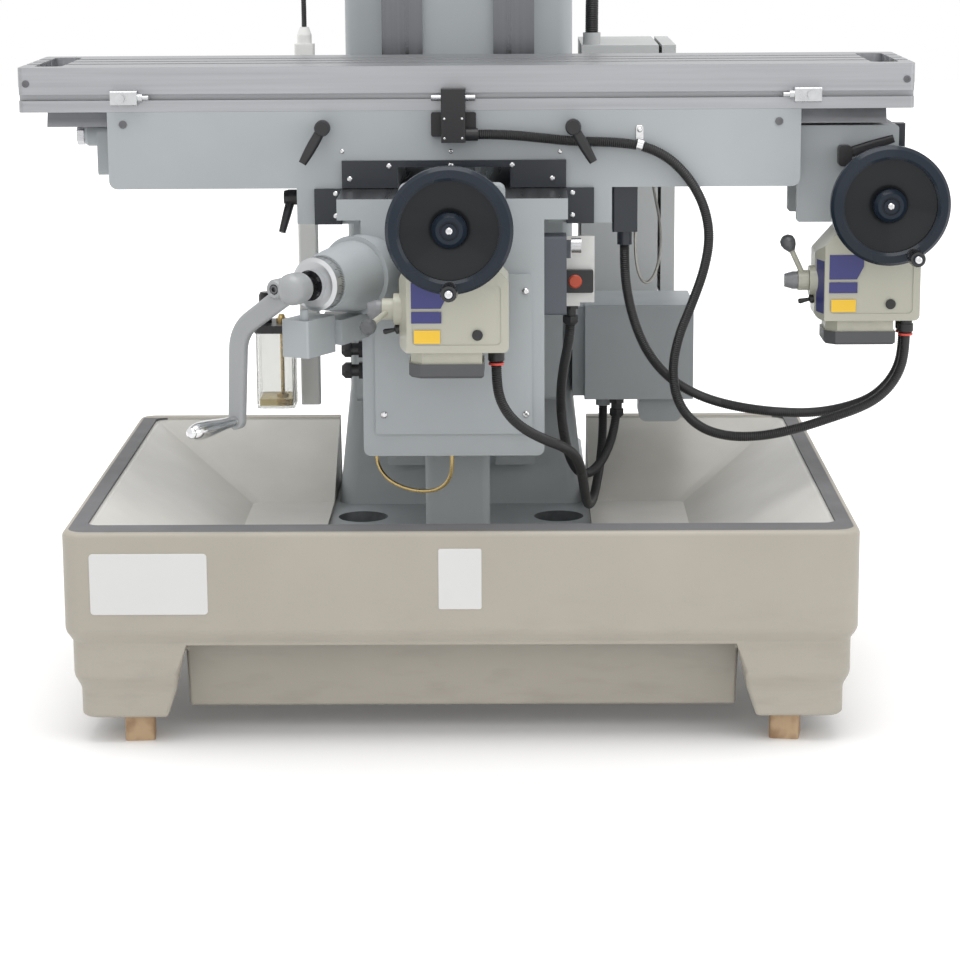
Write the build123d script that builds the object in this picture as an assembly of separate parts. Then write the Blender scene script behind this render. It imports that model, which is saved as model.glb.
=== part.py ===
from build123d import *
from math import cos, pi, radians, sin, tan
import os

os.makedirs("parts", exist_ok=True)

# Knee-type vertical milling machine. Millimetres, +X right, +Y back, +Z up. The origin is on the floor, on the
# machine's centre plane, just behind the column's way faces.

# Clearances
SLIDE_GAP = 0.2        # between sliding ways
SHAFT_GAP = 0.05       # radial, shaft in its bearing
BODY_GAP = 0.5         # between a moving piece and the piece beside it

# Table
TABLE_LENGTH = 1473
TABLE_WIDTH = 305
TABLE_EDGE = 73
TABLE_TOP_Z = 1056
TABLE_JOG = 20         # how far the table stands to the right of the centre plane
TABLE_Y = -297.5
DOVETAIL_WIDTH = 204
DOVETAIL_HEIGHT = 27
DOVETAIL_FLARE = 12
T_SLOT_NECK = 16
T_SLOT_HEAD = 27
T_SLOT_NECK_DEPTH = 15
T_SLOT_HEAD_DEPTH = 12
T_SLOT_PITCH = 64
T_SLOTS = 3
TROUGH_LENGTH = 46
TROUGH_WIDTH = 236
TROUGH_DEPTH = 24
TROUGH_MARGIN = 22
STOP_SLOT_Z = 49       # below the table top
STOP_SLOT_NECK = 10
STOP_SLOT_HEAD = 18
STOP_SLOT_DEPTH = 8

# Saddle
SADDLE_LENGTH = 1142
SADDLE_HEIGHT = 127
TROUGH_HALF = 42       # half width of the longitudinal screw's trough
TUNNEL_HALF = 93       # half width of the tunnel over the cross screw's bearing
TUNNEL_HEIGHT = 35
WING_WALL = 18
LEG_WIDTH = 75
LEG_DROP = 59
SADDLE_OUT = 190       # travel of the saddle away from the column
SADDLE_IN = 100        # travel towards it

# Knee
KNEE_HEIGHT = 419
KNEE_FRONT = -610
KNEE_BODY_HALF = 147
KNEE_WAY_HALF = 185
KNEE_WAY_THICK = 34
LIP_REACH = 10         # saddle's clamp lips from the knee's side
KNEE_CHEEK_DEPTH = 95
KNEE_WALL = 26
KNEE_CORNER = 12
CHANNEL_HALF = 40
CHANNEL_DEPTH = 66
COVER_WIDTH = 254
COVER_HEIGHT = 261
COVER_THICK = 6
COVER_RISE = 37        # cover's lower edge above the knee's lower edge

# Base and column
BASE_HALF = 235
BASE_FRONT = -480
BASE_BACK = 640
BASE_HEIGHT = 220
COLUMN_HALF = 205
COLUMN_DEPTH = 505
COLUMN_TOP = 1500
COLUMN_WALL = 22
WAY_FACE = -30
WAY_ROOT = 15
WAY_HALF = 136
WAY_UNDERCUT = 22
WAY_RECESS_HALF = 63
WAY_RECESS_DEPTH = 12
WAY_BOTTOM = 300
PLINTH_TOP = 480
POCKET_R = 45
POCKET_DEPTH = 60
POCKET_X = 178
POCKET_Y = (-104, 580)
BOLT_R = 15

# Screws
SCREW_R = 16
GEARBOX_BELOW = 38     # gearbox below the longitudinal handwheel's axis
X_SCREW_DROP = 123     # longitudinal screw axis below the table top
Y_SCREW_DROP = 24      # cross screw axis below the knee top
NUT_LENGTH = 64
ELEVATING_R = 19
ELEVATING_Y = -330
PEDESTAL_WIDTH = 110
PEDESTAL_TOP = 700

# Swarf tray
TRAY_WIDTH = 1260
TRAY_X = 12
TRAY_FRONT = -800
TRAY_BACK = 200
TRAY_TOP = 353
TRAY_BOTTOM = 45
TRAY_STEP_Z = (178, 104)
TRAY_STEP_IN = (4, 9)
RIM_SIDE = 34
RIM_FRONT = 59
STRIP_EDGE = 9
STRIP_THICK = 4
PAN_FLOOR = 232
PAN_WALL_RUN = 200     # how far the sloping pan walls run in
SKIRT = 34
TRAY_CORNER_R = 30

# Feed units and wheels
WHEEL_R = 98
WHEEL_RIM = 22          # radial width of the rim
WHEEL_DEPTH = 44
WHEEL_HUB_R = 27
WHEEL_GRIP_R = 87      # radius of the handle's pitch circle
GRIP_LENGTH = 62
FEED_WIDTH = 172
FEED_DEPTH = 104
FEED_TOP = 43          # housing's flat top below the screw axis
FEED_TOP_HALF = 46
FEED_SHOULDER = 88     # where the housing's sloped shoulders begin, below the screw axis
FEED_CORNER = (13, 45) # how far the housing's front left corner is cut back, across and in depth
FEED_SEAT = 9          # lever seat proud of the housing's side
FEED_SEAT_RISE = 62    # lever axis above the housing's foot
FEED_HUB = 18          # length of the lever's hub
FEED_LEAN = 25         # degrees that the lever leans away from the housing
SHAFT_BOSS_R = (46, 40)
FEED_BELOW = 200       # housing below the screw axis
MOTOR_FACE = 100       # width of the motor's front face
MOTOR_CORNER = 18
MOTOR_NECK = 19
MOTOR_CAP = 23
BRACKET_THICK = 50
BRACKET_Z = (-62, 50)   # bearing bracket below and above the cross screw
DIAL_R = 46
DIAL_LENGTH = 28
X_WHEEL_OUT = 143      # longitudinal handwheel's axis beyond the saddle's end
X_WHEEL_DROP = 228     # longitudinal handwheel's axis below the table top
X_FEED_SHIFT = -24      # housing's middle from the wheel's axis
Y_FEED_SHIFT = 4

# Crank
CRANK_Z = 735
CRANK_TURN = 30        # degrees that the crank shaft points left of straight ahead
CRANK_ROOT = (-140, -596)
CRANK_SHAFT_LENGTH = 208
CRANK_SHAFT_R = 15
CRANK_BOSS_R = (56, 44)
CRANK_BOSS_LENGTH = 91
CRANK_ARM = ((0, 0), (105, -72), (112, -217))   # bends of the arm, sideways and up from the hub
CRANK_ARM_WIDE = (33, 28)
CRANK_ARM_HALF = 9
CRANK_HUB_HALF = 26
CRANK_LUG = 24          # clamp screw's axis beside the hub's axis
SWITCH_BOX_T = (100, 180)   # interlock box along the crank shaft
SWITCH_BOX_S = (-7, 43)     # and across it
SWITCH_BOX_Z = (622, 681)
SWITCH_ARM = ((-60, -58), (-27, -90), (0, -30), (12, 1), (12, 25), (0, 25))   # from the knee's front left edge
SWITCH_ARM_Z = (634, 674)
CRANK_GRIP_R = 14
CRANK_GRIP_LENGTH = 112

# Column side boxes
CABINET_X = (226, 370)
CABINET_Y = (200, 500)
CABINET_Z = (574, 1050)
DOOR_THICK = 26
JUNCTION_X = (226, 424)
JUNCTION_Y = (-50, 135)
JUNCTION_Z = (425, 598)
CONNECTOR_X = (326, 404)
CONNECTOR_Y = (-30, 40)
CONNECTOR_DROP = 45
SCALE_X = (-293, -258)
SCALE_Y = (-26, 6)
SCALE_Z = (413, 1068)
TANK_X = (-366, -297)
TANK_Y = (-124, -36)
TANK_Z = (424, 561)
TANK_WALL = 4
PUMP_HEIGHT = 14
PUMP_ARM = ((-66, -38), (-252, -212))   # arm round the scale: front run's depth, side run's width

# Turret, ram and head
TURRET_Y = 230
TURRET_R = 195
TURRET_HEIGHT = 95
RAM_HALF = 100
RAM_HEIGHT = 150
RAM_FRONT = -120
RAM_BACK = 640
RAM_FOOT = 46
RAM_FLARE = 22
GUIDE_HALF = 165
GUIDE_LENGTH = 400
HEAD_RISE = 125.8      # tilt axis above the ram's underside
HEAD_HALF = 84
HEAD_DROP = 67
HEAD_HEIGHT = 292
HEAD_DISC_R = 118
HEAD_DISC = 46
RAM_FLANGE = 40
GUARD_R = (118, 110)
QUILL_R = 52
QUILL_OUT = 42
SPINDLE_R = 30
TAPER_R = 12.065
TAPER_LENGTH = 101
MOTOR_BODY_R = 92
HEAD_MOTOR_LENGTH = 290
BELT_GUARD = 84

# Places worked out from the sizes above
TABLE_BOTTOM = TABLE_TOP_Z - TABLE_EDGE
DOVETAIL_BOTTOM = TABLE_BOTTOM - DOVETAIL_HEIGHT
SADDLE_TOP = TABLE_BOTTOM - SLIDE_GAP
SADDLE_BOTTOM = SADDLE_TOP - SADDLE_HEIGHT
SADDLE_HALF = SADDLE_LENGTH / 2
SADDLE_FRONT = TABLE_Y - TABLE_WIDTH / 2
SADDLE_BACK = TABLE_Y + TABLE_WIDTH / 2
KNEE_TOP = SADDLE_BOTTOM - SLIDE_GAP
KNEE_BOTTOM = KNEE_TOP - KNEE_HEIGHT
X_SCREW_Z = TABLE_TOP_Z - X_SCREW_DROP
Y_SCREW_Z = KNEE_TOP - Y_SCREW_DROP
X_WHEEL_Z = TABLE_TOP_Z - X_WHEEL_DROP
X_WHEEL_X = SADDLE_HALF + X_WHEEL_OUT
TUNNEL_TOP = SADDLE_BOTTOM + TUNNEL_HEIGHT
TROUGH_BOTTOM = TUNNEL_TOP + 10
COLUMN_BACK = WAY_ROOT + COLUMN_DEPTH
CRANK_AXIS = Vector(-sin(radians(CRANK_TURN)), -cos(radians(CRANK_TURN)), 0)
CRANK_SIDE = Vector(-cos(radians(CRANK_TURN)), sin(radians(CRANK_TURN)), 0)
CRANK_START = Vector(CRANK_ROOT[0], CRANK_ROOT[1], CRANK_Z)
CRANK_HUB = CRANK_START + CRANK_AXIS * CRANK_SHAFT_LENGTH
FRONT = Vector(0, -1, 0)
RIGHT = Vector(1, 0, 0)
UP = Vector(0, 0, 1)


def block(x, y, z):
    """A box between the limits given on each axis."""
    size = [limit[1] - limit[0] for limit in (x, y, z)]
    middle = [(limit[1] + limit[0]) / 2 for limit in (x, y, z)]
    return Pos(*middle) * Box(*size)


def rod(start, axis, radius, length):
    """A round bar from start along axis."""
    return extrude(Plane(origin=start, z_dir=axis) * Circle(radius), length)


def turned(start, axis, outline):
    """A turned piece: (radius, height) points revolved round axis, with height zero at start."""
    face = make_face(Polyline(*[(r, 0, h) for r, h in outline], close=True))
    return Plane(origin=start, z_dir=axis).location * revolve(face, Axis.Z)


def along_x(outline, x):
    """A prism: a closed (y, z) outline carried from x[0] to x[1]."""
    plane = Plane(origin=(x[0], 0, 0), x_dir=(0, 1, 0), z_dir=(1, 0, 0))
    return extrude(plane * make_face(Polyline(*outline, close=True)), x[1] - x[0])


def along_y(outline, y):
    """A prism: a closed (x, z) outline carried from y[0] to y[1]."""
    plane = Plane(origin=(0, y[0], 0), x_dir=(1, 0, 0), z_dir=(0, -1, 0))
    return extrude(plane * make_face(Polyline(*outline, close=True)), -(y[1] - y[0]))


def along_z(outline, z):
    """A prism: a closed (x, y) outline carried from z[0] to z[1]."""
    plane = Plane(origin=(0, 0, z[0]), x_dir=(1, 0, 0), z_dir=(0, 0, 1))
    return extrude(plane * make_face(Polyline(*outline, close=True)), z[1] - z[0])


def eased(solid, axis, radius):
    """The solid with its edges along axis rounded."""
    return fillet(solid.edges().filter_by(axis), radius)


def save(node, *solids):
    """Writes one node's solids."""
    export_step(Compound(children=list(solids)) if len(solids) > 1 else solids[0], f"parts/{node}.step")


# Base and column: one grey-iron casting with a flared plinth, ground dovetail ways and a round turret seat
def column():
    base = eased(block((-BASE_HALF, BASE_HALF), (BASE_FRONT, BASE_BACK), (0, BASE_HEIGHT)), Axis.Z, 40)
    y = (WAY_ROOT, COLUMN_BACK)
    shaft = eased(block((-COLUMN_HALF, COLUMN_HALF), y, (BASE_HEIGHT, COLUMN_TOP)), Axis.Z, 24)
    spread = BASE_HALF - COLUMN_HALF
    foot = Plane.XY.offset(BASE_HEIGHT - 5) * Pos(0, sum(y) / 2) * RectangleRounded(
        2 * BASE_HALF - 12, COLUMN_DEPTH + spread, 30)
    neck = Plane.XY.offset(PLINTH_TOP) * Pos(0, sum(y) / 2) * RectangleRounded(
        2 * COLUMN_HALF - 8, COLUMN_DEPTH - 8, 24)
    plinth = loft([foot, neck])
    root_half = WAY_HALF - WAY_UNDERCUT
    ways = along_z([(-WAY_HALF, WAY_FACE), (WAY_HALF, WAY_FACE), (root_half, WAY_ROOT + 20),
                    (-root_half, WAY_ROOT + 20)], (WAY_BOTTOM, COLUMN_TOP - 30))
    recess = block((-WAY_RECESS_HALF, WAY_RECESS_HALF), (WAY_FACE - 1, WAY_FACE + WAY_RECESS_DEPTH),
                   (WAY_BOTTOM, COLUMN_TOP))
    seat = rod((0, TURRET_Y, COLUMN_TOP - 60), UP, TURRET_R, 60)
    hollow = block((COLUMN_WALL - COLUMN_HALF, COLUMN_HALF - COLUMN_WALL),
                   (WAY_ROOT + 2 * COLUMN_WALL, COLUMN_BACK - COLUMN_WALL), (0, COLUMN_TOP - 90))
    core_half = POCKET_X - POCKET_R - COLUMN_WALL
    core = block((-core_half, core_half), (BASE_FRONT + COLUMN_WALL, WAY_ROOT + 2 * COLUMN_WALL),
                 (0, BASE_HEIGHT - 2 * COLUMN_WALL))
    casting = base + plinth + shaft + (ways - recess) + seat - hollow - core
    for x in (-POCKET_X, POCKET_X):
        for place in POCKET_Y:
            casting -= rod((x, place, BASE_HEIGHT - POCKET_DEPTH), UP, POCKET_R, POCKET_DEPTH)
            casting -= rod((x, place, 0), UP, BOLT_R + SHAFT_GAP, BASE_HEIGHT)
    return casting


def levelling_bolts():
    """Four levelling bolts, each with a nut on the pocket's floor."""
    shank = BASE_HEIGHT - 25
    seat = BASE_HEIGHT - POCKET_DEPTH
    bolts = []
    for x in (-POCKET_X, POCKET_X):
        for y in POCKET_Y:
            nut = extrude(Plane.XY.offset(seat) * Pos(x, y) * RegularPolygon(26, 6), 22)
            bolts.append(rod((x, y, 0), UP, BOLT_R, shank) + nut)
    return bolts


# Elevating screw, its nut pedestal and the screw itself
def elevating_pedestal():
    half = PEDESTAL_WIDTH / 2
    post = eased(block((-half, half), (ELEVATING_Y - half, ELEVATING_Y + half), (BASE_HEIGHT, PEDESTAL_TOP)),
                 Axis.Z, 14)
    flange = eased(block((-half - 30, half + 30), (ELEVATING_Y - half - 30, ELEVATING_Y + half + 30),
                         (BASE_HEIGHT, BASE_HEIGHT + 22)), Axis.Z, 14)
    nut_length = 80
    bore = rod((0, ELEVATING_Y, BASE_HEIGHT), UP, ELEVATING_R + 5, PEDESTAL_TOP - BASE_HEIGHT - nut_length)
    thread = rod((0, ELEVATING_Y, BASE_HEIGHT), UP, ELEVATING_R + SHAFT_GAP, PEDESTAL_TOP - BASE_HEIGHT)
    return post + flange - bore - thread


KNEE_ROOF = KNEE_TOP - CHANNEL_DEPTH - KNEE_WALL


def elevating_screw():
    """The screw hangs in the knee's roof by its collar and gear."""
    foot = BASE_HEIGHT + 20
    screw = rod((0, ELEVATING_Y, foot), UP, ELEVATING_R, KNEE_ROOF + KNEE_WALL / 2 - foot)
    collar = rod((0, ELEVATING_Y, KNEE_ROOF - 24), UP, ELEVATING_R + 14, 24 - BODY_GAP / 2)
    return screw + collar


# Swarf tray: a moulded U-shaped tray round the base, with sloping pans and a toe recess
def tray_outline(inset):
    wide = TRAY_WIDTH - 2 * inset
    deep = TRAY_BACK - TRAY_FRONT - 2 * inset
    return Pos(TRAY_X, (TRAY_FRONT + TRAY_BACK) / 2) * RectangleRounded(wide, deep, TRAY_CORNER_R)


def swarf_tray():
    levels = (TRAY_TOP, *TRAY_STEP_Z, TRAY_BOTTOM)
    body = None
    for top, bottom, inset in zip(levels[:-1], levels[1:], (0, *TRAY_STEP_IN)):
        band = extrude(Plane.XY.offset(bottom) * tray_outline(inset), top - bottom)
        body = band if body is None else body + band
    mouth_w = TRAY_WIDTH - 2 * RIM_SIDE
    mouth_d = TRAY_BACK - TRAY_FRONT - RIM_FRONT - RIM_SIDE
    middle = (TRAY_FRONT + RIM_FRONT + TRAY_BACK - RIM_SIDE) / 2
    mouth = Plane.XY.offset(TRAY_TOP) * Pos(TRAY_X, middle) * RectangleRounded(mouth_w, mouth_d, 20)
    floor = Plane.XY.offset(PAN_FLOOR) * Pos(TRAY_X, middle) * RectangleRounded(
        mouth_w - 2 * PAN_WALL_RUN, mouth_d - 2 * PAN_WALL_RUN, 20)
    body -= loft([floor, mouth])
    inset = TRAY_STEP_IN[1] + SKIRT
    under = extrude(Plane.XY.offset(TRAY_BOTTOM) * tray_outline(inset), PAN_FLOOR - 24 - TRAY_BOTTOM)
    toe_back = TRAY_FRONT + 78
    toe_wall = block((TRAY_X - 450, TRAY_X + 450), (TRAY_FRONT, toe_back + SKIRT), (TRAY_BOTTOM, PAN_FLOOR))
    body -= under - toe_wall
    toe_half = 441
    toe_spread = 38
    toe_top = 168
    body -= along_y([(TRAY_X - toe_half, toe_top), (TRAY_X + toe_half, toe_top),
                     (TRAY_X + toe_half + toe_spread, TRAY_BOTTOM),
                     (TRAY_X - toe_half - toe_spread, TRAY_BOTTOM)], (TRAY_FRONT, toe_back))
    notch = block((-BASE_HALF, BASE_HALF), (BASE_FRONT, TRAY_BACK), (0, TRAY_TOP))
    outer = strip_groove()
    return body - notch - outer


def strip_groove():
    """The shallow groove round the tray's front and sides, open to the pan."""
    groove = extrude(Plane.XY.offset(TRAY_TOP - STRIP_THICK) * tray_outline(STRIP_EDGE), STRIP_THICK)
    back_rim = block((TRAY_X - TRAY_WIDTH / 2, TRAY_X + TRAY_WIDTH / 2), (TRAY_BACK - RIM_SIDE, TRAY_BACK),
                     (TRAY_TOP - STRIP_THICK, TRAY_TOP))
    return groove - back_rim


def tray_edge_strip():
    """A dark strip let into the rim's top along the sides, and wider along the front."""
    outer = strip_groove()
    low_x = TRAY_X - TRAY_WIDTH / 2 + RIM_SIDE
    high_x = TRAY_X + TRAY_WIDTH / 2 - RIM_SIDE
    inner = block((low_x, high_x), (TRAY_FRONT + RIM_FRONT, TRAY_BACK - RIM_SIDE), (TRAY_BOTTOM, TRAY_TOP))
    notch = block((-BASE_HALF, BASE_HALF), (BASE_FRONT, TRAY_BACK), (0, TRAY_TOP))
    return outer - eased(inner, Axis.Z, 20) - notch


def packing_blocks():
    """Four wooden blocks under the tray's corners."""
    size = 74
    blocks = []
    for x in (TRAY_X - TRAY_WIDTH / 2 + 72, TRAY_X + TRAY_WIDTH / 2 - 72 - size):
        for y in (TRAY_FRONT + 34, TRAY_BACK - 34 - size):
            blocks.append(block((x, x + size), (y, y + size), (0, TRAY_BOTTOM)))
    return blocks


# Electrical cabinet, junction box, scale and lubricator on the column's sides
def electrical_cabinet():
    wall = 12
    shell = block(CABINET_X, CABINET_Y, CABINET_Z)
    inner = block((CABINET_X[0] + wall, CABINET_X[1]), (CABINET_Y[0] + wall, CABINET_Y[1] - wall),
                  (CABINET_Z[0] + wall, CABINET_Z[1] - wall))
    feet = [block((COLUMN_HALF, CABINET_X[0]), (CABINET_Y[0] + 60, CABINET_Y[1] - 60), (z, z + 30))
            for z in (CABINET_Z[0] + 40, CABINET_Z[1] - 70)]
    panel = block((CABINET_X[0] + wall, CABINET_X[0] + wall + 60), (CABINET_Y[0] + 50, CABINET_Y[1] - 50),
                  (CABINET_Z[0] + 60, CABINET_Z[1] - 60))
    gland = rod((*ELBOW, CABINET_Z[1]), UP, HEAD_CONDUIT_R + 4, GLAND_LENGTH)
    return shell - inner + feet[0] + feet[1] + panel + gland + door_hinge()


DOOR_X = CABINET_X[1] + 6
HINGE = (DOOR_X + DOOR_THICK / 2, CABINET_Y[1] + 10)
HINGE_R = 6


def cabinet_door():
    """A flat door with a returned edge, hung on a pin at the cabinet's back."""
    door = block((DOOR_X, DOOR_X + DOOR_THICK), CABINET_Y, CABINET_Z)
    dish = block((DOOR_X, DOOR_X + DOOR_THICK - 4), (CABINET_Y[0] + 6, CABINET_Y[1] - 6),
                 (CABINET_Z[0] + 6, CABINET_Z[1] - 6))
    knuckle = rod((*HINGE, CABINET_Z[0] + 120), UP, HINGE_R + 5, CABINET_Z[1] - CABINET_Z[0] - 240)
    knuckle += block((DOOR_X + 4, DOOR_X + DOOR_THICK - 4), (CABINET_Y[1] - 4, HINGE[1]),
                     (CABINET_Z[0] + 120, CABINET_Z[1] - 120))
    bore = rod((*HINGE, CABINET_Z[0]), UP, HINGE_R + SHAFT_GAP, CABINET_Z[1] - CABINET_Z[0])
    return door - dish + knuckle - bore


def door_hinge():
    """The hinge pin and its two ears, fixed to the cabinet's back."""
    ears = []
    for z in (CABINET_Z[0] + 90, CABINET_Z[1] - 120):
        leaf = block((CABINET_X[1] - 40, HINGE[0]), (CABINET_Y[1], CABINET_Y[1] + 16), (z, z + 30 - BODY_GAP))
        ears.append(leaf + rod((*HINGE, z), UP, HINGE_R + 4, 30 - BODY_GAP))
    pin = rod((*HINGE, CABINET_Z[0] + 90), UP, HINGE_R, CABINET_Z[1] - CABINET_Z[0] - 180 - BODY_GAP)
    return pin + ears[0] + ears[1]


def junction_box():
    box = eased(block(JUNCTION_X, JUNCTION_Y, JUNCTION_Z), Axis.Z, 2)
    lid = block((JUNCTION_X[0] + 1, JUNCTION_X[1] - 1), (JUNCTION_Y[0] - 5, JUNCTION_Y[0]),
                (JUNCTION_Z[0] + 1, JUNCTION_Z[1] - 1))
    ears = block((COLUMN_HALF, JUNCTION_X[0]), (40, JUNCTION_Y[1] - 20), (JUNCTION_Z[0] + 80, JUNCTION_Z[1] - 40))
    low = JUNCTION_Z[0] - CONNECTOR_DROP
    connector = eased(block(CONNECTOR_X, CONNECTOR_Y, (low, JUNCTION_Z[0])), Axis.Y, 14)
    gland = rod((*LOOP_END, JUNCTION_Z[0] - GLAND_LENGTH), UP, CONDUIT_R + 5, GLAND_LENGTH)
    return box + lid + ears + connector + gland


def z_scale():
    rail = eased(block(SCALE_X, SCALE_Y, SCALE_Z), Axis.Z, 5)
    slit = block((SCALE_X[1] - 3, SCALE_X[1]), (SCALE_Y[0] + 12, SCALE_Y[1] - 12),
                 (SCALE_Z[0] + 20, SCALE_Z[1] - 20))
    lugs = [block((SCALE_X[1], -COLUMN_HALF), (SCALE_Y[1] - 10, WAY_ROOT + 45), (z, z + 40))
            for z in (SCALE_Z[0] + 200, SCALE_Z[1] - 120)]
    middle = Vector((SCALE_X[0] + SCALE_X[1]) / 2, (SCALE_Y[0] + SCALE_Y[1]) / 2, SCALE_Z[1])
    gland = turned(middle, UP, [(0, 0), (13, 0), (13, 16), (8, 30), (0, 30)])
    return rail - slit + lugs[0] + lugs[1] + gland


def lubricator_tank():
    tank = eased(block(TANK_X, TANK_Y, TANK_Z), Axis.Z, 12)
    wide = (TANK_X[0] + TANK_WALL, TANK_X[1] - TANK_WALL)
    deep = (TANK_Y[0] + TANK_WALL, TANK_Y[1] - TANK_WALL)
    inside = eased(block(wide, deep, (TANK_Z[0] + TANK_WALL, TANK_Z[1])), Axis.Z, 9)
    return tank - inside


PLUNGER = (TANK_X[0] + 17, (TANK_Y[0] + TANK_Y[1]) / 2)
PLUNGER_R = 5
PUMP_TOP = TANK_Z[1] + PUMP_HEIGHT


def lubricator_pump():
    """The pump head closes the tank, and its arm passes round the scale to the column's side."""
    head = eased(block((TANK_X[0] - 2, TANK_X[1] + 2), (TANK_Y[0] - 2, TANK_Y[1] + 2), (TANK_Z[1], PUMP_TOP)),
                 Axis.Z, 12)
    bore = rod((*PLUNGER, TANK_Z[1]), UP, PLUNGER_R + SHAFT_GAP, 80)
    neck = rod((*PLUNGER, PUMP_TOP), UP, 10, 16)
    z = (TANK_Z[1] + 2, PUMP_TOP - 2)
    front_run, side_run = PUMP_ARM
    arm = block((TANK_X[1] - 8, side_run[1]), front_run, z)
    arm += block(side_run, (front_run[0], WAY_ROOT + 45), z)
    arm += block((side_run[0], -COLUMN_HALF), (WAY_ROOT + 5, WAY_ROOT + 45), z)
    return head + neck + arm - bore


def lubricator_plunger():
    stem = rod((*PLUNGER, TANK_Z[1] + 2), UP, PLUNGER_R, PUMP_HEIGHT + 44)
    knob = turned((*PLUNGER, PUMP_TOP + 29), UP, [(0, 0), (8, 0), (13, 5), (13, 20), (10, 26), (0, 26)])
    return stem + knob


# Knee: a box casting with flat ways on top, a screw channel and cheeks that clasp the column's ways
def knee():
    flange = block((-KNEE_WAY_HALF, KNEE_WAY_HALF), (KNEE_FRONT, WAY_FACE - SLIDE_GAP),
                   (KNEE_TOP - KNEE_WAY_THICK, KNEE_TOP))
    body = block((-KNEE_BODY_HALF, KNEE_BODY_HALF), (KNEE_FRONT, WAY_FACE - SLIDE_GAP), (KNEE_BOTTOM, KNEE_TOP))
    low_front = body.edges().filter_by(Axis.Y).sort_by(Axis.Z)[:2]
    body = fillet(low_front, KNEE_CORNER)
    cheek_y = (WAY_FACE - KNEE_CHEEK_DEPTH, WAY_ROOT - 2)
    cheeks = eased(block((-KNEE_WAY_HALF, KNEE_WAY_HALF), cheek_y, (KNEE_BOTTOM, KNEE_TOP)), Axis.X, 10)
    slope = WAY_UNDERCUT / (WAY_ROOT + 20 - WAY_FACE)
    face_half = WAY_HALF + BODY_GAP
    end_half = face_half - slope * (WAY_ROOT + 4 - WAY_FACE)
    slot = along_z([(-face_half, WAY_FACE - SLIDE_GAP), (face_half, WAY_FACE - SLIDE_GAP),
                    (end_half, WAY_ROOT + 4), (-end_half, WAY_ROOT + 4)], (KNEE_BOTTOM, KNEE_TOP))
    channel = block((-CHANNEL_HALF, CHANNEL_HALF), (KNEE_FRONT, WAY_ROOT), (KNEE_TOP - CHANNEL_DEPTH, KNEE_TOP))
    hollow = block((KNEE_WALL - KNEE_BODY_HALF, KNEE_BODY_HALF - KNEE_WALL),
                   (KNEE_FRONT + KNEE_WALL, WAY_FACE - KNEE_CHEEK_DEPTH), (KNEE_BOTTOM, KNEE_ROOF))
    bearing = rod((0, ELEVATING_Y, KNEE_ROOF), UP, ELEVATING_R + SHAFT_GAP, KNEE_WALL / 2 + BODY_GAP)
    shaft = rod(CRANK_START - CRANK_AXIS * 60, CRANK_AXIS, CRANK_SHAFT_R + SHAFT_GAP, 400)
    corner = rod(CRANK_START - CRANK_AXIS * 10, CRANK_AXIS, CRANK_BOSS_R[0] + 8, 44)
    casting = body + flange + cheeks + (corner - block((-KNEE_BODY_HALF + KNEE_WALL, 0),
                                                       (KNEE_FRONT + KNEE_WALL, 0), (0, KNEE_TOP)))
    casting = casting - slot - channel - hollow - bearing + crank_boss() + crank_switch_box() - shaft
    travel = (SADDLE_FRONT - SADDLE_OUT - BODY_GAP, SADDLE_BACK + SADDLE_IN + BODY_GAP)
    for side in (-1, 1):
        x = sorted((side * (KNEE_BODY_HALF + LIP_REACH - BODY_GAP), side * (KNEE_WAY_HALF + LEG_WIDTH)))
        casting -= block(x, travel, (SADDLE_BOTTOM - LEG_DROP - BODY_GAP, KNEE_TOP - KNEE_WAY_THICK))
    return casting


def knee_cover():
    low = KNEE_BOTTOM + COVER_RISE
    cover = eased(block((-COVER_WIDTH / 2, COVER_WIDTH / 2), (KNEE_FRONT - COVER_THICK, KNEE_FRONT),
                        (low, low + COVER_HEIGHT)), Axis.Y, 6)
    corner = rod(CRANK_START - CRANK_AXIS * 12, CRANK_AXIS, CRANK_BOSS_R[0] + 10, 200)
    return cover - corner


def crank_boss():
    """The crank shaft's conical bearing on the knee's corner."""
    seat = CRANK_START + CRANK_AXIS * 34
    big, small = CRANK_BOSS_R
    cone = turned(seat, CRANK_AXIS, [(0, 0), (big, 0), (big, 14), (small + 6, 60), (small, CRANK_BOSS_LENGTH),
                                     (0, CRANK_BOSS_LENGTH)])
    return cone


def crank_switch_box():
    """The box of the crank's interlock switch, square to the shaft, and its arm from the knee's side."""
    (near, far), (right, left) = SWITCH_BOX_T, SWITCH_BOX_S
    corners = [CRANK_START + CRANK_AXIS * t + CRANK_SIDE * side
               for t, side in ((near, right), (far, right), (far, left), (near, left))]
    box = eased(along_z([(c.X, c.Y) for c in corners], SWITCH_BOX_Z), Axis.Z, 4)
    arm = along_z([(x - KNEE_BODY_HALF, y + KNEE_FRONT) for x, y in SWITCH_ARM], SWITCH_ARM_Z)
    pin = CRANK_START + CRANK_AXIS * (far - 12) + CRANK_SIDE * (right + 14)
    plunger = rod((pin.X, pin.Y, SWITCH_BOX_Z[1] - 2), UP, 7, 18)
    return box + arm + plunger


CRANK_DIAL_AT = 34 + CRANK_BOSS_LENGTH + BODY_GAP


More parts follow.
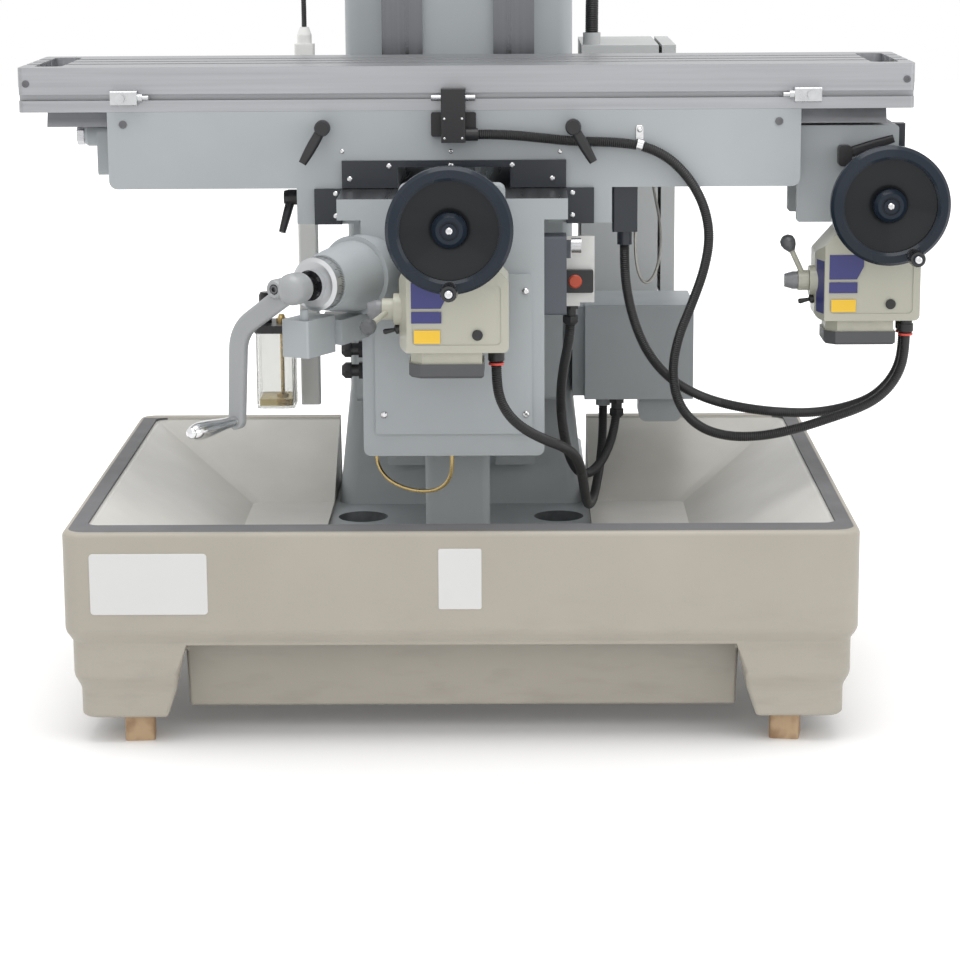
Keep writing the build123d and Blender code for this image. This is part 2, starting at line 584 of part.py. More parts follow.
def crank_dial():
    """The crank shaft with its graduated dial and clutch teeth."""
    shaft = rod(CRANK_START - CRANK_AXIS * 50, CRANK_AXIS, CRANK_SHAFT_R, CRANK_SHAFT_LENGTH + 46)
    dial = turned(CRANK_START + CRANK_AXIS * CRANK_DIAL_AT, CRANK_AXIS,
                  [(0, 0), (42, 0), (42, 22), (36, 26), (24, 26), (24, 38), (0, 38)])
    teeth = 6
    clutch = CRANK_START + CRANK_AXIS * (CRANK_DIAL_AT + 38)
    plane = Plane(origin=clutch, x_dir=(0, 0, 1), z_dir=CRANK_AXIS)
    for turn in range(teeth):
        dial += extrude(plane * Rot(0, 0, 360 / teeth * turn) * Pos(18, 0) * Rectangle(10, 7), 7)
    return shaft + dial


def crank_arm():
    """A cranked flat arm from the hub to the handle's pin."""
    plane = Plane(origin=CRANK_HUB, x_dir=CRANK_SIDE, z_dir=CRANK_AXIS)
    half = CRANK_ARM_HALF
    flat = None
    for (u0, w0), (u1, w1), wide in zip(CRANK_ARM[:-1], CRANK_ARM[1:], CRANK_ARM_WIDE):
        run = Vector(u1 - u0, w1 - w0)
        turn = Vector(1, 0).get_signed_angle(run, Vector(0, 0, 1))
        shape = Pos((u0 + u1) / 2, (w0 + w1) / 2) * Rot(0, 0, turn) * SlotCenterToCenter(run.length, wide)
        flat = shape if flat is None else flat + shape
    up_local = plane.to_local_coords(CRANK_HUB + UP).Y
    if up_local < 0:
        flat = mirror(flat, Plane.XZ)
    arm = extrude(plane.offset(-half) * flat, 2 * half)
    back = CRANK_HUB - CRANK_AXIS * CRANK_HUB_HALF
    hub = turned(back, CRANK_AXIS, [(0, 0), (20, 0), (27, 7), (30, 18), (30, 30), (25, 43), (15, 51), (0, 52)])
    lug = rod(CRANK_HUB + CRANK_SIDE * CRANK_LUG - CRANK_AXIS * CRANK_ARM_HALF, CRANK_AXIS, 16, 28)
    pin = rod(CRANK_GRIP_START - CRANK_AXIS * 2, CRANK_AXIS, 6, CRANK_GRIP_LENGTH + 8)
    pin += rod(CRANK_GRIP_START + CRANK_AXIS * (CRANK_GRIP_LENGTH + 2 * BODY_GAP), CRANK_AXIS, 9, 5)
    bore = rod(back, CRANK_AXIS, CRANK_SHAFT_R, CRANK_HUB_HALF - 4)
    socket = rod(CRANK_HUB + CRANK_SIDE * CRANK_LUG + CRANK_AXIS * 12, CRANK_AXIS, 8, 24)
    return arm + hub + lug + pin - bore - socket


CRANK_GRIP_START = (CRANK_HUB + CRANK_SIDE * CRANK_ARM[2][0] + UP * CRANK_ARM[2][1]
                    + CRANK_AXIS * CRANK_ARM_HALF)


def crank_handle():
    """A chromed barrel handle that spins on the arm's pin."""
    long = CRANK_GRIP_LENGTH
    r = CRANK_GRIP_R
    outline = [(0, 0), (r - 3, 0), (r - 1, 8), (r, long * 0.45), (r - 2, long * 0.8), (r - 6, long), (0, long)]
    barrel = turned(CRANK_GRIP_START + CRANK_AXIS * BODY_GAP, CRANK_AXIS, outline)
    return barrel - rod(CRANK_GRIP_START, CRANK_AXIS, 6 + SHAFT_GAP, long + 10)


# Handwheel: dished rim, web, hub and a handle on the rim's face; shared by both feeds
def handwheel(centre, back):
    """A dished wheel turned about the -Y axis, its back face at Y back."""
    start = Vector(centre[0], back, centre[1])
    inner = WHEEL_R - WHEEL_RIM
    deep = WHEEL_DEPTH
    hub = turned(start, FRONT, [(0, 0), (WHEEL_HUB_R, 0), (WHEEL_HUB_R, 32), (WHEEL_HUB_R - 6, 38), (15, 38),
                                (15, 35), (11, 35), (11, 40), (0, 40)])
    web = turned(start, FRONT, [(0, 10), (WHEEL_HUB_R, 10), (inner + 4, 22), (inner + 4, 31), (inner, 31),
                                (WHEEL_HUB_R, 20), (0, 20)])
    rim = turned(start, FRONT, [(inner, 21), (WHEEL_R - 4, 17), (WHEEL_R, 22), (WHEEL_R, deep - 8),
                                (WHEEL_R - 5, deep - 2), (inner + 5, deep), (inner, deep - 4)])
    return hub + web + rim


def wheel_pin(centre, back, angle):
    """The handle's pin on the wheel's rim, angle in degrees clockwise from the top as seen from the front."""
    x = centre[0] + WHEEL_GRIP_R * sin(radians(angle))
    z = centre[1] + WHEEL_GRIP_R * cos(radians(angle))
    start = Vector(x, back - 24, z)
    boss = rod(start, FRONT, WHEEL_RIM / 2 - 2, WHEEL_DEPTH - 24)
    pin = rod(start, FRONT, 5, WHEEL_DEPTH - 24 + GRIP_LENGTH + 2 * BODY_GAP + 2)
    head = rod(start + FRONT * (WHEEL_DEPTH - 24 + GRIP_LENGTH + 2 * BODY_GAP), FRONT, 7.5, 4)
    return boss + pin + head


def wheel_handle(centre, back, angle):
    """A turned handle that spins on the wheel's pin."""
    x = centre[0] + WHEEL_GRIP_R * sin(radians(angle))
    z = centre[1] + WHEEL_GRIP_R * cos(radians(angle))
    start = Vector(x, back - WHEEL_DEPTH - BODY_GAP, z)
    long = GRIP_LENGTH
    outline = [(0, 0), (10, 0), (10, 5), (13.5, long * 0.45), (14, long * 0.8), (12, long), (0, long)]
    grip = turned(start, FRONT, outline)
    return grip - rod(start, FRONT, 5 + SHAFT_GAP, long + 5)


# Power feed: an ivory gear housing round the screw with a vertical motor hanging from it
def feed_housing(centre, back, shift):
    axis_x, z = centre
    x = axis_x + shift
    half = FEED_WIDTH / 2
    front = back - FEED_DEPTH
    low = z - FEED_BELOW
    shoulder = z - FEED_SHOULDER
    top = z - FEED_TOP
    case = along_y([(x - half, low), (x + half, low), (x + half, shoulder), (x + FEED_TOP_HALF, top),
                    (x - FEED_TOP_HALF, top), (x - half, shoulder)], (front, back))
    case = eased(case, Axis.Y, 9)
    across, deep = FEED_CORNER
    case -= along_z([(x - half - 1, front - 1), (x - half + across, front - 1), (x - half - 1, front + deep)],
                    (low - 1, top + 1))
    recess = eased(block((x - half + across + 8, x + half - 12), (front, front + 1.5), (low + 12, shoulder - 6)),
                   Axis.Y, 8)
    lever_seat = rod((x - half - FEED_SEAT, (front + back) / 2, low + FEED_SEAT_RISE), RIGHT, 25, FEED_SEAT + 8)
    lever_bore = rod((x - half - FEED_SEAT - 1, (front + back) / 2, low + FEED_SEAT_RISE), RIGHT,
                     FEED_PIVOT_R + SHAFT_GAP, 30)
    return case - recess + lever_seat - lever_bore


def shaft_boss(centre, root, front):
    """The cone that carries a handwheel's shaft from Y root to its dial, flat on the feed housing below."""
    x, z = centre
    big, small = SHAFT_BOSS_R
    long = root - front
    cone = turned(Vector(x, root, z), FRONT, [(0, 0), (big, 0), (small, long), (0, long)])
    return cone - block((x - big, x + big), (front, root), (z - big - 1, z - FEED_TOP))


FEED_PIVOT_R = 7


def feed_motor(centre, back, shift, gland_offsets):
    """The motor's ivory neck and dark cap under the housing."""
    x = centre[0] + shift
    z = centre[1]
    y = back - FEED_DEPTH / 2
    top = z - FEED_BELOW
    right = x - 3 + MOTOR_FACE / 2
    left = right - MOTOR_FACE - MOTOR_CORNER
    front = back - FEED_DEPTH + 8

    def slab(inset, levels):
        return along_z([(left + inset, back - 12 - inset), (right - inset, back - 12 - inset),
                        (right - inset, front + inset), (left + MOTOR_CORNER + inset, front + inset),
                        (left + inset, front + MOTOR_CORNER + inset)], levels)

    neck = slab(3, (top - MOTOR_NECK, top))
    cap = slab(0, (top - MOTOR_NECK - MOTOR_CAP, top - MOTOR_NECK))
    cap = chamfer(cap.edges().group_by(Axis.Z)[0], 4)
    glands = [turned(Vector(x + GLAND_X, y + offset, z - FEED_BELOW), -UP,
                     [(0, 0), (11, 0), (11, 8), (13, 8), (13, 20), (CONDUIT_R + 1, FEED_GLAND), (0, FEED_GLAND)])
              for offset in gland_offsets]
    return [neck + cap] + glands


GLAND_X = 66           # cable glands from the housing's middle
FEED_GLAND = 24
X_GLANDS = (-30, 2)
Y_GLANDS = (2,)


def feed_lever(centre, back, shift, angle):
    """The direction lever: a hub on a stub shaft at the housing's left side, a thin arm and a ball."""
    x = centre[0] + shift
    z = centre[1]
    y = back - FEED_DEPTH / 2
    start = Vector(x - FEED_WIDTH / 2 - FEED_SEAT - BODY_GAP, y, z - FEED_BELOW + FEED_SEAT_RISE)
    out = -RIGHT
    hub = rod(start, out, 17, FEED_HUB)
    stub = rod(start - out * 18, out, FEED_PIVOT_R, 20)
    lean = radians(FEED_LEAN)
    direction = Vector(-sin(lean), -cos(lean) * sin(radians(angle)), cos(lean) * cos(radians(angle)))
    arm = rod(start + out * 5, direction, 4.5, 62)
    ball = turned(start + out * 5 + direction * 58, direction,
                  [(0, 0), (5, 0), (11, 10), (13, 17), (12, 24), (7, 29), (0, 30)])
    knob_bore = rod(start - out * 30, out, 4 + SHAFT_GAP, 60)
    return hub + stub + arm + ball - knob_bore


def feed_knob(centre, back, shift):
    """The speed knob, on a spindle through the lever's hub."""
    x = centre[0] + shift
    z = centre[1]
    y = back - FEED_DEPTH / 2
    start = Vector(x - FEED_WIDTH / 2 - FEED_SEAT - FEED_HUB - 2 * BODY_GAP, y, z - FEED_BELOW + FEED_SEAT_RISE)
    out = -RIGHT
    knob = turned(start, out, [(0, 0), (15, 0), (15, 8), (11, 22), (0, 22)])
    return knob + rod(start - out * (FEED_HUB + 12), out, 4, FEED_HUB + 16)


def graduated_dial(centre, front):
    """The graduated collar between a feed housing and its handwheel."""
    return turned(Vector(centre[0], front, centre[1]), FRONT,
                  [(0, 0), (DIAL_R, 0), (DIAL_R, DIAL_LENGTH - 6), (DIAL_R - 6, DIAL_LENGTH), (0, DIAL_LENGTH)])


# Cross feed, at the knee's front
Y_CENTRE = (0, Y_SCREW_Z)
Y_FEED_BACK = KNEE_FRONT - BRACKET_THICK
Y_DIAL_FRONT = Y_FEED_BACK - FEED_DEPTH - 6 - BODY_GAP
Y_WHEEL_BACK = Y_DIAL_FRONT - DIAL_LENGTH


def y_bearing_bracket():
    height = (Y_SCREW_Z + BRACKET_Z[0], Y_SCREW_Z + BRACKET_Z[1])
    shape = eased(block((-TUNNEL_HALF + 8, TUNNEL_HALF - 8), (Y_FEED_BACK, KNEE_FRONT), height), Axis.Y, 12)
    boss = shaft_boss(Y_CENTRE, Y_FEED_BACK, Y_DIAL_FRONT + BODY_GAP)
    bore = rod((0, KNEE_FRONT + 1, Y_SCREW_Z), FRONT, SCREW_R + SHAFT_GAP, BRACKET_THICK + FEED_DEPTH + 8)
    return shape + boss - bore


def y_screw():
    """The cross screw runs from the knee's back end to the handwheel."""
    back = WAY_FACE - 40
    screw = rod((0, back, Y_SCREW_Z), FRONT, SCREW_R, back - Y_WHEEL_BACK)
    return screw + graduated_dial(Y_CENTRE, Y_DIAL_FRONT)


Y_GRIP_ANGLE = 180
X_GRIP_ANGLE = 155


# Knee limit switch, depths behind the knee's front face and drops below its top
STOP_RAIL = ((20, 250), (180, 150))
STOP_BODY = ((6, 60), (190, 62))
STOP_ROLLER = (33, 80)
STOP_PLATE = ((120, 126), (186, 76))
STOP_BUTTON_DROP = 150


def z_limit_switch():
    """Limit switch, rail, dog bracket and stop button on the knee's right side."""
    x = KNEE_BODY_HALF

    def depth(pair):
        return KNEE_FRONT + pair[0], KNEE_FRONT + pair[1]

    def drop(pair):
        return KNEE_TOP - pair[0], KNEE_TOP - pair[1]

    rail = block((x, x + 24), depth(STOP_RAIL[0]), drop(STOP_RAIL[1]))
    body = eased(block((x, x + 36), depth(STOP_BODY[0]), drop(STOP_BODY[1])), Axis.X, 5)
    roller_y = KNEE_FRONT + STOP_ROLLER[0]
    roller_z = KNEE_TOP - STOP_ROLLER[1]
    arm = block((x + 36, x + 44), (roller_y - 7, roller_y + 7), (roller_z - 20, roller_z + 8))
    roller = rod((x + 44, roller_y, roller_z), RIGHT, 12, 16)
    plate_front, plate_back = depth(STOP_PLATE[0])
    plate = block((x + 24, x + 84), (plate_front, plate_back), drop(STOP_PLATE[1]))
    foot = KNEE_TOP - STOP_PLATE[1][0]
    tab = block((x, x + 60), (plate_front, plate_front + 50), (foot - 6, foot))
    button = turned((x + 52, plate_front, KNEE_TOP - STOP_BUTTON_DROP), FRONT,
                    [(0, 0), (12, 0), (12, 8), (9, 12), (0, 12)])
    return rail + body + arm + roller + plate + tab + button


# Saddle: a long casting with a dovetail groove, a screw trough, a tunnel for the cross screw and clasping legs
def saddle():
    y = (SADDLE_FRONT, SADDLE_BACK)
    casting = block((-SADDLE_HALF, SADDLE_HALF), y, (SADDLE_BOTTOM, SADDLE_TOP))
    low_ends = casting.edges().filter_by(Axis.Y).sort_by(Axis.Z)[:2]
    casting = fillet(low_ends, 14)
    inner = KNEE_WAY_HALF + BODY_GAP
    for side in (-1, 1):
        leg_x = sorted((side * inner, side * (inner + LEG_WIDTH)))
        casting += block(leg_x, y, (SADDLE_BOTTOM - LEG_DROP, SADDLE_BOTTOM + 10))
        lip_x = sorted((side * (KNEE_BODY_HALF + LIP_REACH), side * (inner + 5)))
        casting += block(lip_x, y, (SADDLE_BOTTOM - LEG_DROP, KNEE_TOP - KNEE_WAY_THICK - SLIDE_GAP))
        well_x = sorted((side * (inner + LEG_WIDTH + WING_WALL), side * (SADDLE_HALF - WING_WALL)))
        casting -= block(well_x, (y[0] + WING_WALL, y[1] - WING_WALL), (SADDLE_BOTTOM, TROUGH_BOTTOM - WING_WALL))
    half = DOVETAIL_WIDTH / 2 + BODY_GAP
    flare = DOVETAIL_FLARE
    floor = DOVETAIL_BOTTOM - SLIDE_GAP
    ends = (-SADDLE_HALF - 1, SADDLE_HALF + 1)
    casting -= along_x([(TABLE_Y - half, SADDLE_TOP + 1), (TABLE_Y + half, SADDLE_TOP + 1),
                        (TABLE_Y + half + flare, floor), (TABLE_Y - half - flare, floor)], ends)
    casting -= block(ends, (TABLE_Y - TROUGH_HALF, TABLE_Y + TROUGH_HALF), (TROUGH_BOTTOM, floor + 1))
    casting -= block((-TUNNEL_HALF, TUNNEL_HALF), y, (SADDLE_BOTTOM, TUNNEL_TOP))
    nut = block((-CHANNEL_HALF + 8, CHANNEL_HALF - 8), (TABLE_Y - NUT_LENGTH / 2, TABLE_Y + NUT_LENGTH / 2),
                (Y_SCREW_Z - 30, TUNNEL_TOP))
    casting += nut - rod((0, 0, Y_SCREW_Z), FRONT, SCREW_R + SHAFT_GAP, 900)
    for x in LOCK_X:
        casting -= rod((x, SADDLE_FRONT, LOCK_Z), -FRONT, LOCK_R + SHAFT_GAP, 30)
    return casting - rod(SADDLE_LOCK, RIGHT, LOCK_R + SHAFT_GAP, 30)


LOCK_X = (-214, 196)
LOCK_Z = 958
LOCK_R = 8
SADDLE_LOCK = Vector(-KNEE_WAY_HALF - BODY_GAP - LEG_WIDTH, SADDLE_FRONT + 90, SADDLE_BOTTOM - 24)


def lock_lever(x, lean):
    """A ratchet clamp lever with a moulded grip, on a stud along Y."""
    start = Vector(x, SADDLE_FRONT + 24, LOCK_Z)
    stud = rod(start, FRONT, LOCK_R, 50)
    hub = turned(Vector(x, SADDLE_FRONT - BODY_GAP, LOCK_Z), FRONT,
                 [(0, 0), (10, 0), (10, 24), (13, 27), (13, 42), (11, 48), (0, 48)])
    direction = Vector(lean * 0.5, -0.12, -0.86).normalized()
    plane = Plane(origin=Vector(x, SADDLE_FRONT - 37, LOCK_Z), z_dir=direction)
    grip = loft([plane * RectangleRounded(15, 15, 5), plane.offset(40) * RectangleRounded(17, 13, 5),
                 plane.offset(66) * RectangleRounded(13, 11, 4)])
    return stud + hub + grip


def saddle_lock_lever():
    """The saddle's clamp lever, on a stud along X in the left leg."""
    stud = rod(SADDLE_LOCK + RIGHT * 24, -RIGHT, LOCK_R, 50)
    hub = turned(SADDLE_LOCK - RIGHT * BODY_GAP, -RIGHT, [(0, 0), (13, 0), (13, 20), (11, 28), (0, 28)])
    plane = Plane(origin=SADDLE_LOCK - RIGHT * 16, z_dir=Vector(-0.25, -0.3, -0.92).normalized())
    grip = loft([plane * RectangleRounded(15, 15, 5), plane.offset(36) * RectangleRounded(17, 13, 5),
                 plane.offset(62) * RectangleRounded(13, 11, 4)])
    return stud + hub + grip


WIPER_THICK = 8


def way_wipers():
    """Black wiper plate across the saddle's front and a bracket on each leg."""
    y = (SADDLE_FRONT - WIPER_THICK, SADDLE_FRONT)
    half = KNEE_WAY_HALF
    plate = block((-half, half), y, (SADDLE_BOTTOM + 1, SADDLE_BOTTOM + 46))
    plate -= block((-TUNNEL_HALF, TUNNEL_HALF), y, (SADDLE_BOTTOM, TUNNEL_TOP))
    solids = [plate]
    for side in (-1, 1):
        x = sorted((side * (half + BODY_GAP), side * (half + 46)))
        upright = block(x, y, (SADDLE_BOTTOM - LEG_DROP, SADDLE_BOTTOM))
        solids.append(upright)
    return solids


CABLE_BRACKET_X = (262, 304)
CABLE_BRACKET_Y = (SADDLE_FRONT + 10, SADDLE_FRONT + 40)
CABLE_BRACKET_DROP = 76


def cable_bracket():
    """A black terminal block under the saddle's right wing, with a gland below it."""
    middle = (sum(CABLE_BRACKET_X) / 2, sum(CABLE_BRACKET_Y) / 2)
    low = SADDLE_BOTTOM - CABLE_BRACKET_DROP
    body = eased(block(CABLE_BRACKET_X, CABLE_BRACKET_Y, (low, SADDLE_BOTTOM)), Axis.Z, 4)
    return body + rod((*middle, low - GLAND_LENGTH), UP, CONDUIT_R + 4, GLAND_LENGTH)


# Longitudinal drive: bearing housing at the left end, right-angle gearbox and feed at the right end
def x_bearing_housing():
    x = -SADDLE_HALF
    pad = block((x - 30, x), (TABLE_Y - 70, TABLE_Y + 70), (TROUGH_BOTTOM - 30, DOVETAIL_BOTTOM - 4))
    pad = eased(pad, Axis.X, 10)
    barrel = turned(Vector(x - 30, TABLE_Y, X_SCREW_Z), -RIGHT, [(0, 0), (19, 0), (19, 24), (15, 30), (0, 30)])
    return pad + barrel - rod((x - 70, TABLE_Y, X_SCREW_Z), RIGHT, SCREW_R - 4 + SHAFT_GAP, 71)


X_FEED_BACK = TABLE_Y - 34
X_CENTRE = (X_WHEEL_X, X_WHEEL_Z)
X_DIAL_FRONT = X_FEED_BACK - FEED_DEPTH - 6 - BODY_GAP
X_WHEEL_BACK = X_DIAL_FRONT - DIAL_LENGTH


def x_gearbox():
    """A cast box that turns the wheel's shaft into the screw's, bolted to the saddle's end by a flange."""
    x = SADDLE_HALF
    top = DOVETAIL_BOTTOM - 5
    low = X_WHEEL_Z - GEARBOX_BELOW
    case = eased(block((x, GEARBOX_END), (GEARBOX_FRONT, TABLE_Y + 70), (low, top)), Axis.Y, 6)
    window = block((x, x + 46), (GEARBOX_FRONT + 14, TABLE_Y + 50), (low, SADDLE_BOTTOM - 8))
    hanger = block((X_WHEEL_X - 60, X_WHEEL_X + 8), (GEARBOX_FRONT, X_FEED_BACK), (X_WHEEL_Z - FEED_TOP, low))
    boss = shaft_boss(X_CENTRE, GEARBOX_FRONT, X_DIAL_FRONT + BODY_GAP)
    lever_bore = rod(CLUTCH_PIVOT + FRONT * 12, -FRONT, 7 + SHAFT_GAP, 40)
    screw_bore = rod((x - 2, TABLE_Y, X_SCREW_Z), RIGHT, SCREW_R + SHAFT_GAP, 150)
    wheel_bore = rod((X_WHEEL_X, X_FEED_BACK + 60, X_WHEEL_Z), FRONT, SCREW_R + SHAFT_GAP, 180)
    return case - window + hanger + boss - screw_bore - wheel_bore - lever_bore


GEARBOX_FRONT = TABLE_Y - 102
GEARBOX_END = X_WHEEL_X + 25
CLUTCH_PIVOT = Vector(X_WHEEL_X - 66, GEARBOX_FRONT, X_WHEEL_Z + 77)


def end_cover():
    """A black cover on the gearbox's outer face, below the table's way."""
    return block((GEARBOX_END, GEARBOX_END + 18), (TABLE_Y - 46, TABLE_Y - 16), (X_SCREW_Z - 30, X_SCREW_Z + 16))


def x_clutch_lever():
    stud = rod(CLUTCH_PIVOT - FRONT * 24, FRONT, 7, 40)
    hub = eased(block((CLUTCH_PIVOT.X - 11, CLUTCH_PIVOT.X + 11), (GEARBOX_FRONT - 26, GEARBOX_FRONT - BODY_GAP),
                      (CLUTCH_PIVOT.Z - 20, CLUTCH_PIVOT.Z + 14)), Axis.Y, 6)
    plane = Plane(origin=CLUTCH_PIVOT + FRONT * 16, z_dir=Vector(0.94, -0.14, 0.31).normalized())
    grip = loft([plane * RectangleRounded(16, 14, 5), plane.offset(50) * RectangleRounded(17, 13, 5),
                 plane.offset(84) * RectangleRounded(13, 11, 4)])
    return stud + hub + grip


def x_screw():
    left = -SADDLE_HALF
    right = SADDLE_HALF
    screw = rod((left + BODY_GAP, TABLE_Y, X_SCREW_Z), RIGHT, SCREW_R, right - left + 76)
    journal = rod((left - 72, TABLE_Y, X_SCREW_Z), RIGHT, SCREW_R - 4, 80)
    end = Plane(origin=(left - 60 - BODY_GAP, TABLE_Y, X_SCREW_Z), z_dir=-RIGHT)
    nut = extrude(end * RegularPolygon(17, 6), 12)
    return screw + journal + nut


def x_drive_shaft():
    back = X_FEED_BACK + 50
    shaft = rod((X_WHEEL_X, back, X_WHEEL_Z), FRONT, SCREW_R, back - X_WHEEL_BACK)
    return shaft + graduated_dial(X_CENTRE, X_DIAL_FRONT)


# Table, with its stop dogs and the limit switch that they strike
def table():
    half = TABLE_LENGTH / 2
    x = (TABLE_JOG - half, TABLE_JOG + half)
    y = (SADDLE_FRONT, SADDLE_BACK)
    plate = eased(block(x, y, (TABLE_BOTTOM, TABLE_TOP_Z)), Axis.Z, 9)
    for end in (x[0] + TROUGH_MARGIN, x[1] - TROUGH_MARGIN - TROUGH_LENGTH):
        pocket = block((end, end + TROUGH_LENGTH), (TABLE_Y - TROUGH_WIDTH / 2, TABLE_Y + TROUGH_WIDTH / 2),
                       (TABLE_TOP_Z - TROUGH_DEPTH, TABLE_TOP_Z))
        plate -= eased(pocket, Axis.Z, 14)
    for slot in range(T_SLOTS):
        middle = TABLE_Y + (slot - (T_SLOTS - 1) / 2) * T_SLOT_PITCH
        neck_floor = TABLE_TOP_Z - T_SLOT_NECK_DEPTH
        plate -= block(x, (middle - T_SLOT_NECK / 2, middle + T_SLOT_NECK / 2), (neck_floor, TABLE_TOP_Z))
        plate -= block(x, (middle - T_SLOT_HEAD / 2, middle + T_SLOT_HEAD / 2),
                       (neck_floor - T_SLOT_HEAD_DEPTH, neck_floor))
    stop_z = TABLE_TOP_Z - STOP_SLOT_Z
    plate -= block(x, (y[0], y[0] + STOP_SLOT_DEPTH), (stop_z - STOP_SLOT_NECK / 2, stop_z + STOP_SLOT_NECK / 2))
    plate -= block(x, (y[0] + STOP_SLOT_DEPTH, y[0] + 2 * STOP_SLOT_DEPTH),
                   (stop_z - STOP_SLOT_HEAD / 2, stop_z + STOP_SLOT_HEAD / 2))
    wide = DOVETAIL_WIDTH / 2
    tail = along_x([(TABLE_Y - wide, TABLE_BOTTOM), (TABLE_Y + wide, TABLE_BOTTOM),
                    (TABLE_Y + wide + DOVETAIL_FLARE, DOVETAIL_BOTTOM),
                    (TABLE_Y - wide - DOVETAIL_FLARE, DOVETAIL_BOTTOM)], (x[0] + 40, x[1] - 40))
    nut = block((TABLE_JOG - NUT_LENGTH / 2, TABLE_JOG + NUT_LENGTH / 2), (TABLE_Y - 32, TABLE_Y + 32),
                (X_SCREW_Z - 28, DOVETAIL_BOTTOM))
    return plate + tail + nut - rod((-900, TABLE_Y, X_SCREW_Z), RIGHT, SCREW_R + SHAFT_GAP, 1800)


DOG_INSET = 176.5
DOG_X = (TABLE_JOG - TABLE_LENGTH / 2 + DOG_INSET, TABLE_JOG + TABLE_LENGTH / 2 - DOG_INSET)
DOG_LENGTH = 44


def stop_dog(x):
    """A stop dog clamped in the table's front slot, with a spring plunger facing the middle."""
    z = TABLE_TOP_Z - STOP_SLOT_Z
    y = SADDLE_FRONT
    inward = RIGHT if x < 0 else -RIGHT
    half = DOG_LENGTH / 2
    body = eased(block((x - half, x + half), (y - 22, y - BODY_GAP), (z - 12, z + 12)), Axis.X, 3)
    stem = block((x - half + 6, x + half - 6), (y - BODY_GAP, y + STOP_SLOT_DEPTH + BODY_GAP),
                 (z - STOP_SLOT_NECK / 2 + BODY_GAP, z + STOP_SLOT_NECK / 2 - BODY_GAP))
    key = block((x - half + 6, x + half - 6), (y + STOP_SLOT_DEPTH + BODY_GAP, y + 2 * STOP_SLOT_DEPTH - BODY_GAP),
                (z - STOP_SLOT_HEAD / 2 + BODY_GAP, z + STOP_SLOT_HEAD / 2 - BODY_GAP))
    nose = turned(Vector(x, y - 12, z) + inward * half, inward, [(0, 0), (7, 0), (7, 8), (4, 8), (4, 18), (0, 18)])
    screw = rod(Vector(x, y - 22, z) - inward * 6, FRONT, 8, 7)
    return body + stem + key + nose + screw


SWITCH_HALF = 20
SWITCH_CLEAR = 3
PLUNGER_ROD_R = 5
PLUNGER_REACH = 16


def limit_switch():
    """The table's limit switch, on a plate at the saddle's front."""
    y = SADDLE_FRONT
    z = TABLE_TOP_Z - STOP_SLOT_Z
    plate = eased(block((-37, 37), (y - 10, y), (SADDLE_TOP - 42, SADDLE_TOP - 2)), Axis.Y, 4)
    body = block((-SWITCH_HALF, SWITCH_HALF), (y - 34, y - SWITCH_CLEAR), (SADDLE_TOP - 50, z + 13))
    body = eased(body, Axis.Z, 3)
    bore = rod((-60, y - 18, z - 2), RIGHT, PLUNGER_ROD_R + SHAFT_GAP, 120)
    gland = rod((SWITCH_HALF - 2, y - 18, LIMIT_EXIT_Z), RIGHT, CONDUIT_R + 2, LIMIT_EXIT_X - SWITCH_HALF + 2)
    return plate + body + gland - bore


def limit_plunger():
    """A sprung rod through the switch, pushed either way by the dogs."""
    start = Vector(-SWITCH_HALF - PLUNGER_REACH, SADDLE_FRONT - 18, TABLE_TOP_Z - STOP_SLOT_Z - 2)
    return rod(start, RIGHT, PLUNGER_ROD_R, 2 * (SWITCH_HALF + PLUNGER_REACH))


# Conduits and tubes: straight runs joined by the largest tangent arcs that they leave room for
CONDUIT_R = 8.5
GLAND_LENGTH = 22
LIMIT_EXIT_X = 40
LIMIT_EXIT_Z = 945
HEAD_CONDUIT_R = 12.5
LOOP_END = (262, 18)
OIL_R = 3
ELBOW = (246, 240)
ELBOW_Z = (COLUMN_TOP - 60, COLUMN_TOP - 16)

X_GLAND_X = X_WHEEL_X + X_FEED_SHIFT + GLAND_X
X_GLAND_Z = X_WHEEL_Z - FEED_BELOW - FEED_GLAND
Y_GLAND_Z = Y_SCREW_Z - FEED_BELOW - FEED_GLAND
BRACKET_GLAND_Z = SADDLE_BOTTOM - CABLE_BRACKET_DROP - GLAND_LENGTH
LIMIT_ROUTE = [(40, -468, 945), (82, -468, 945), (140, -465, 939), (200, -461, 932), (260, -461, 931),
               (312, -463, 925), (353, -465, 906), (387, -466, 872), (412, -464, 828), (423, -460, 776),
               (415, -456, 720), (395, -453, 662), (372, -452, 605), (362, -452, 547), (372, -452, 492),
               (405, -450, 452), (455, -448, 434), (516, -445, 434), (576, -440, 446), (X_GLAND_X - 124, -434, 463),
               (X_GLAND_X - 68, -427, 481), (X_GLAND_X - 33, -421, 503), (X_GLAND_X - 9, -415, 535),
               (X_GLAND_X, -413, 572), (X_GLAND_X, -413, X_GLAND_Z)]
X_FEED_ROUTE = [(283, -425, BRACKET_GLAND_Z), (283, -425, 715), (289, -426, 668), (303, -428, 616),
                (326, -429, 568), (362, -430, 528), (410, -430, 500), (468, -427, 482), (540, -418, 470),
                (X_GLAND_X - 140, -405, 466), (X_GLAND_X - 68, -393, 481), (X_GLAND_X - 33, -387, 503),
                (X_GLAND_X - 9, -383, 535), (X_GLAND_X, -381, 572), (X_GLAND_X, -381, X_GLAND_Z)]
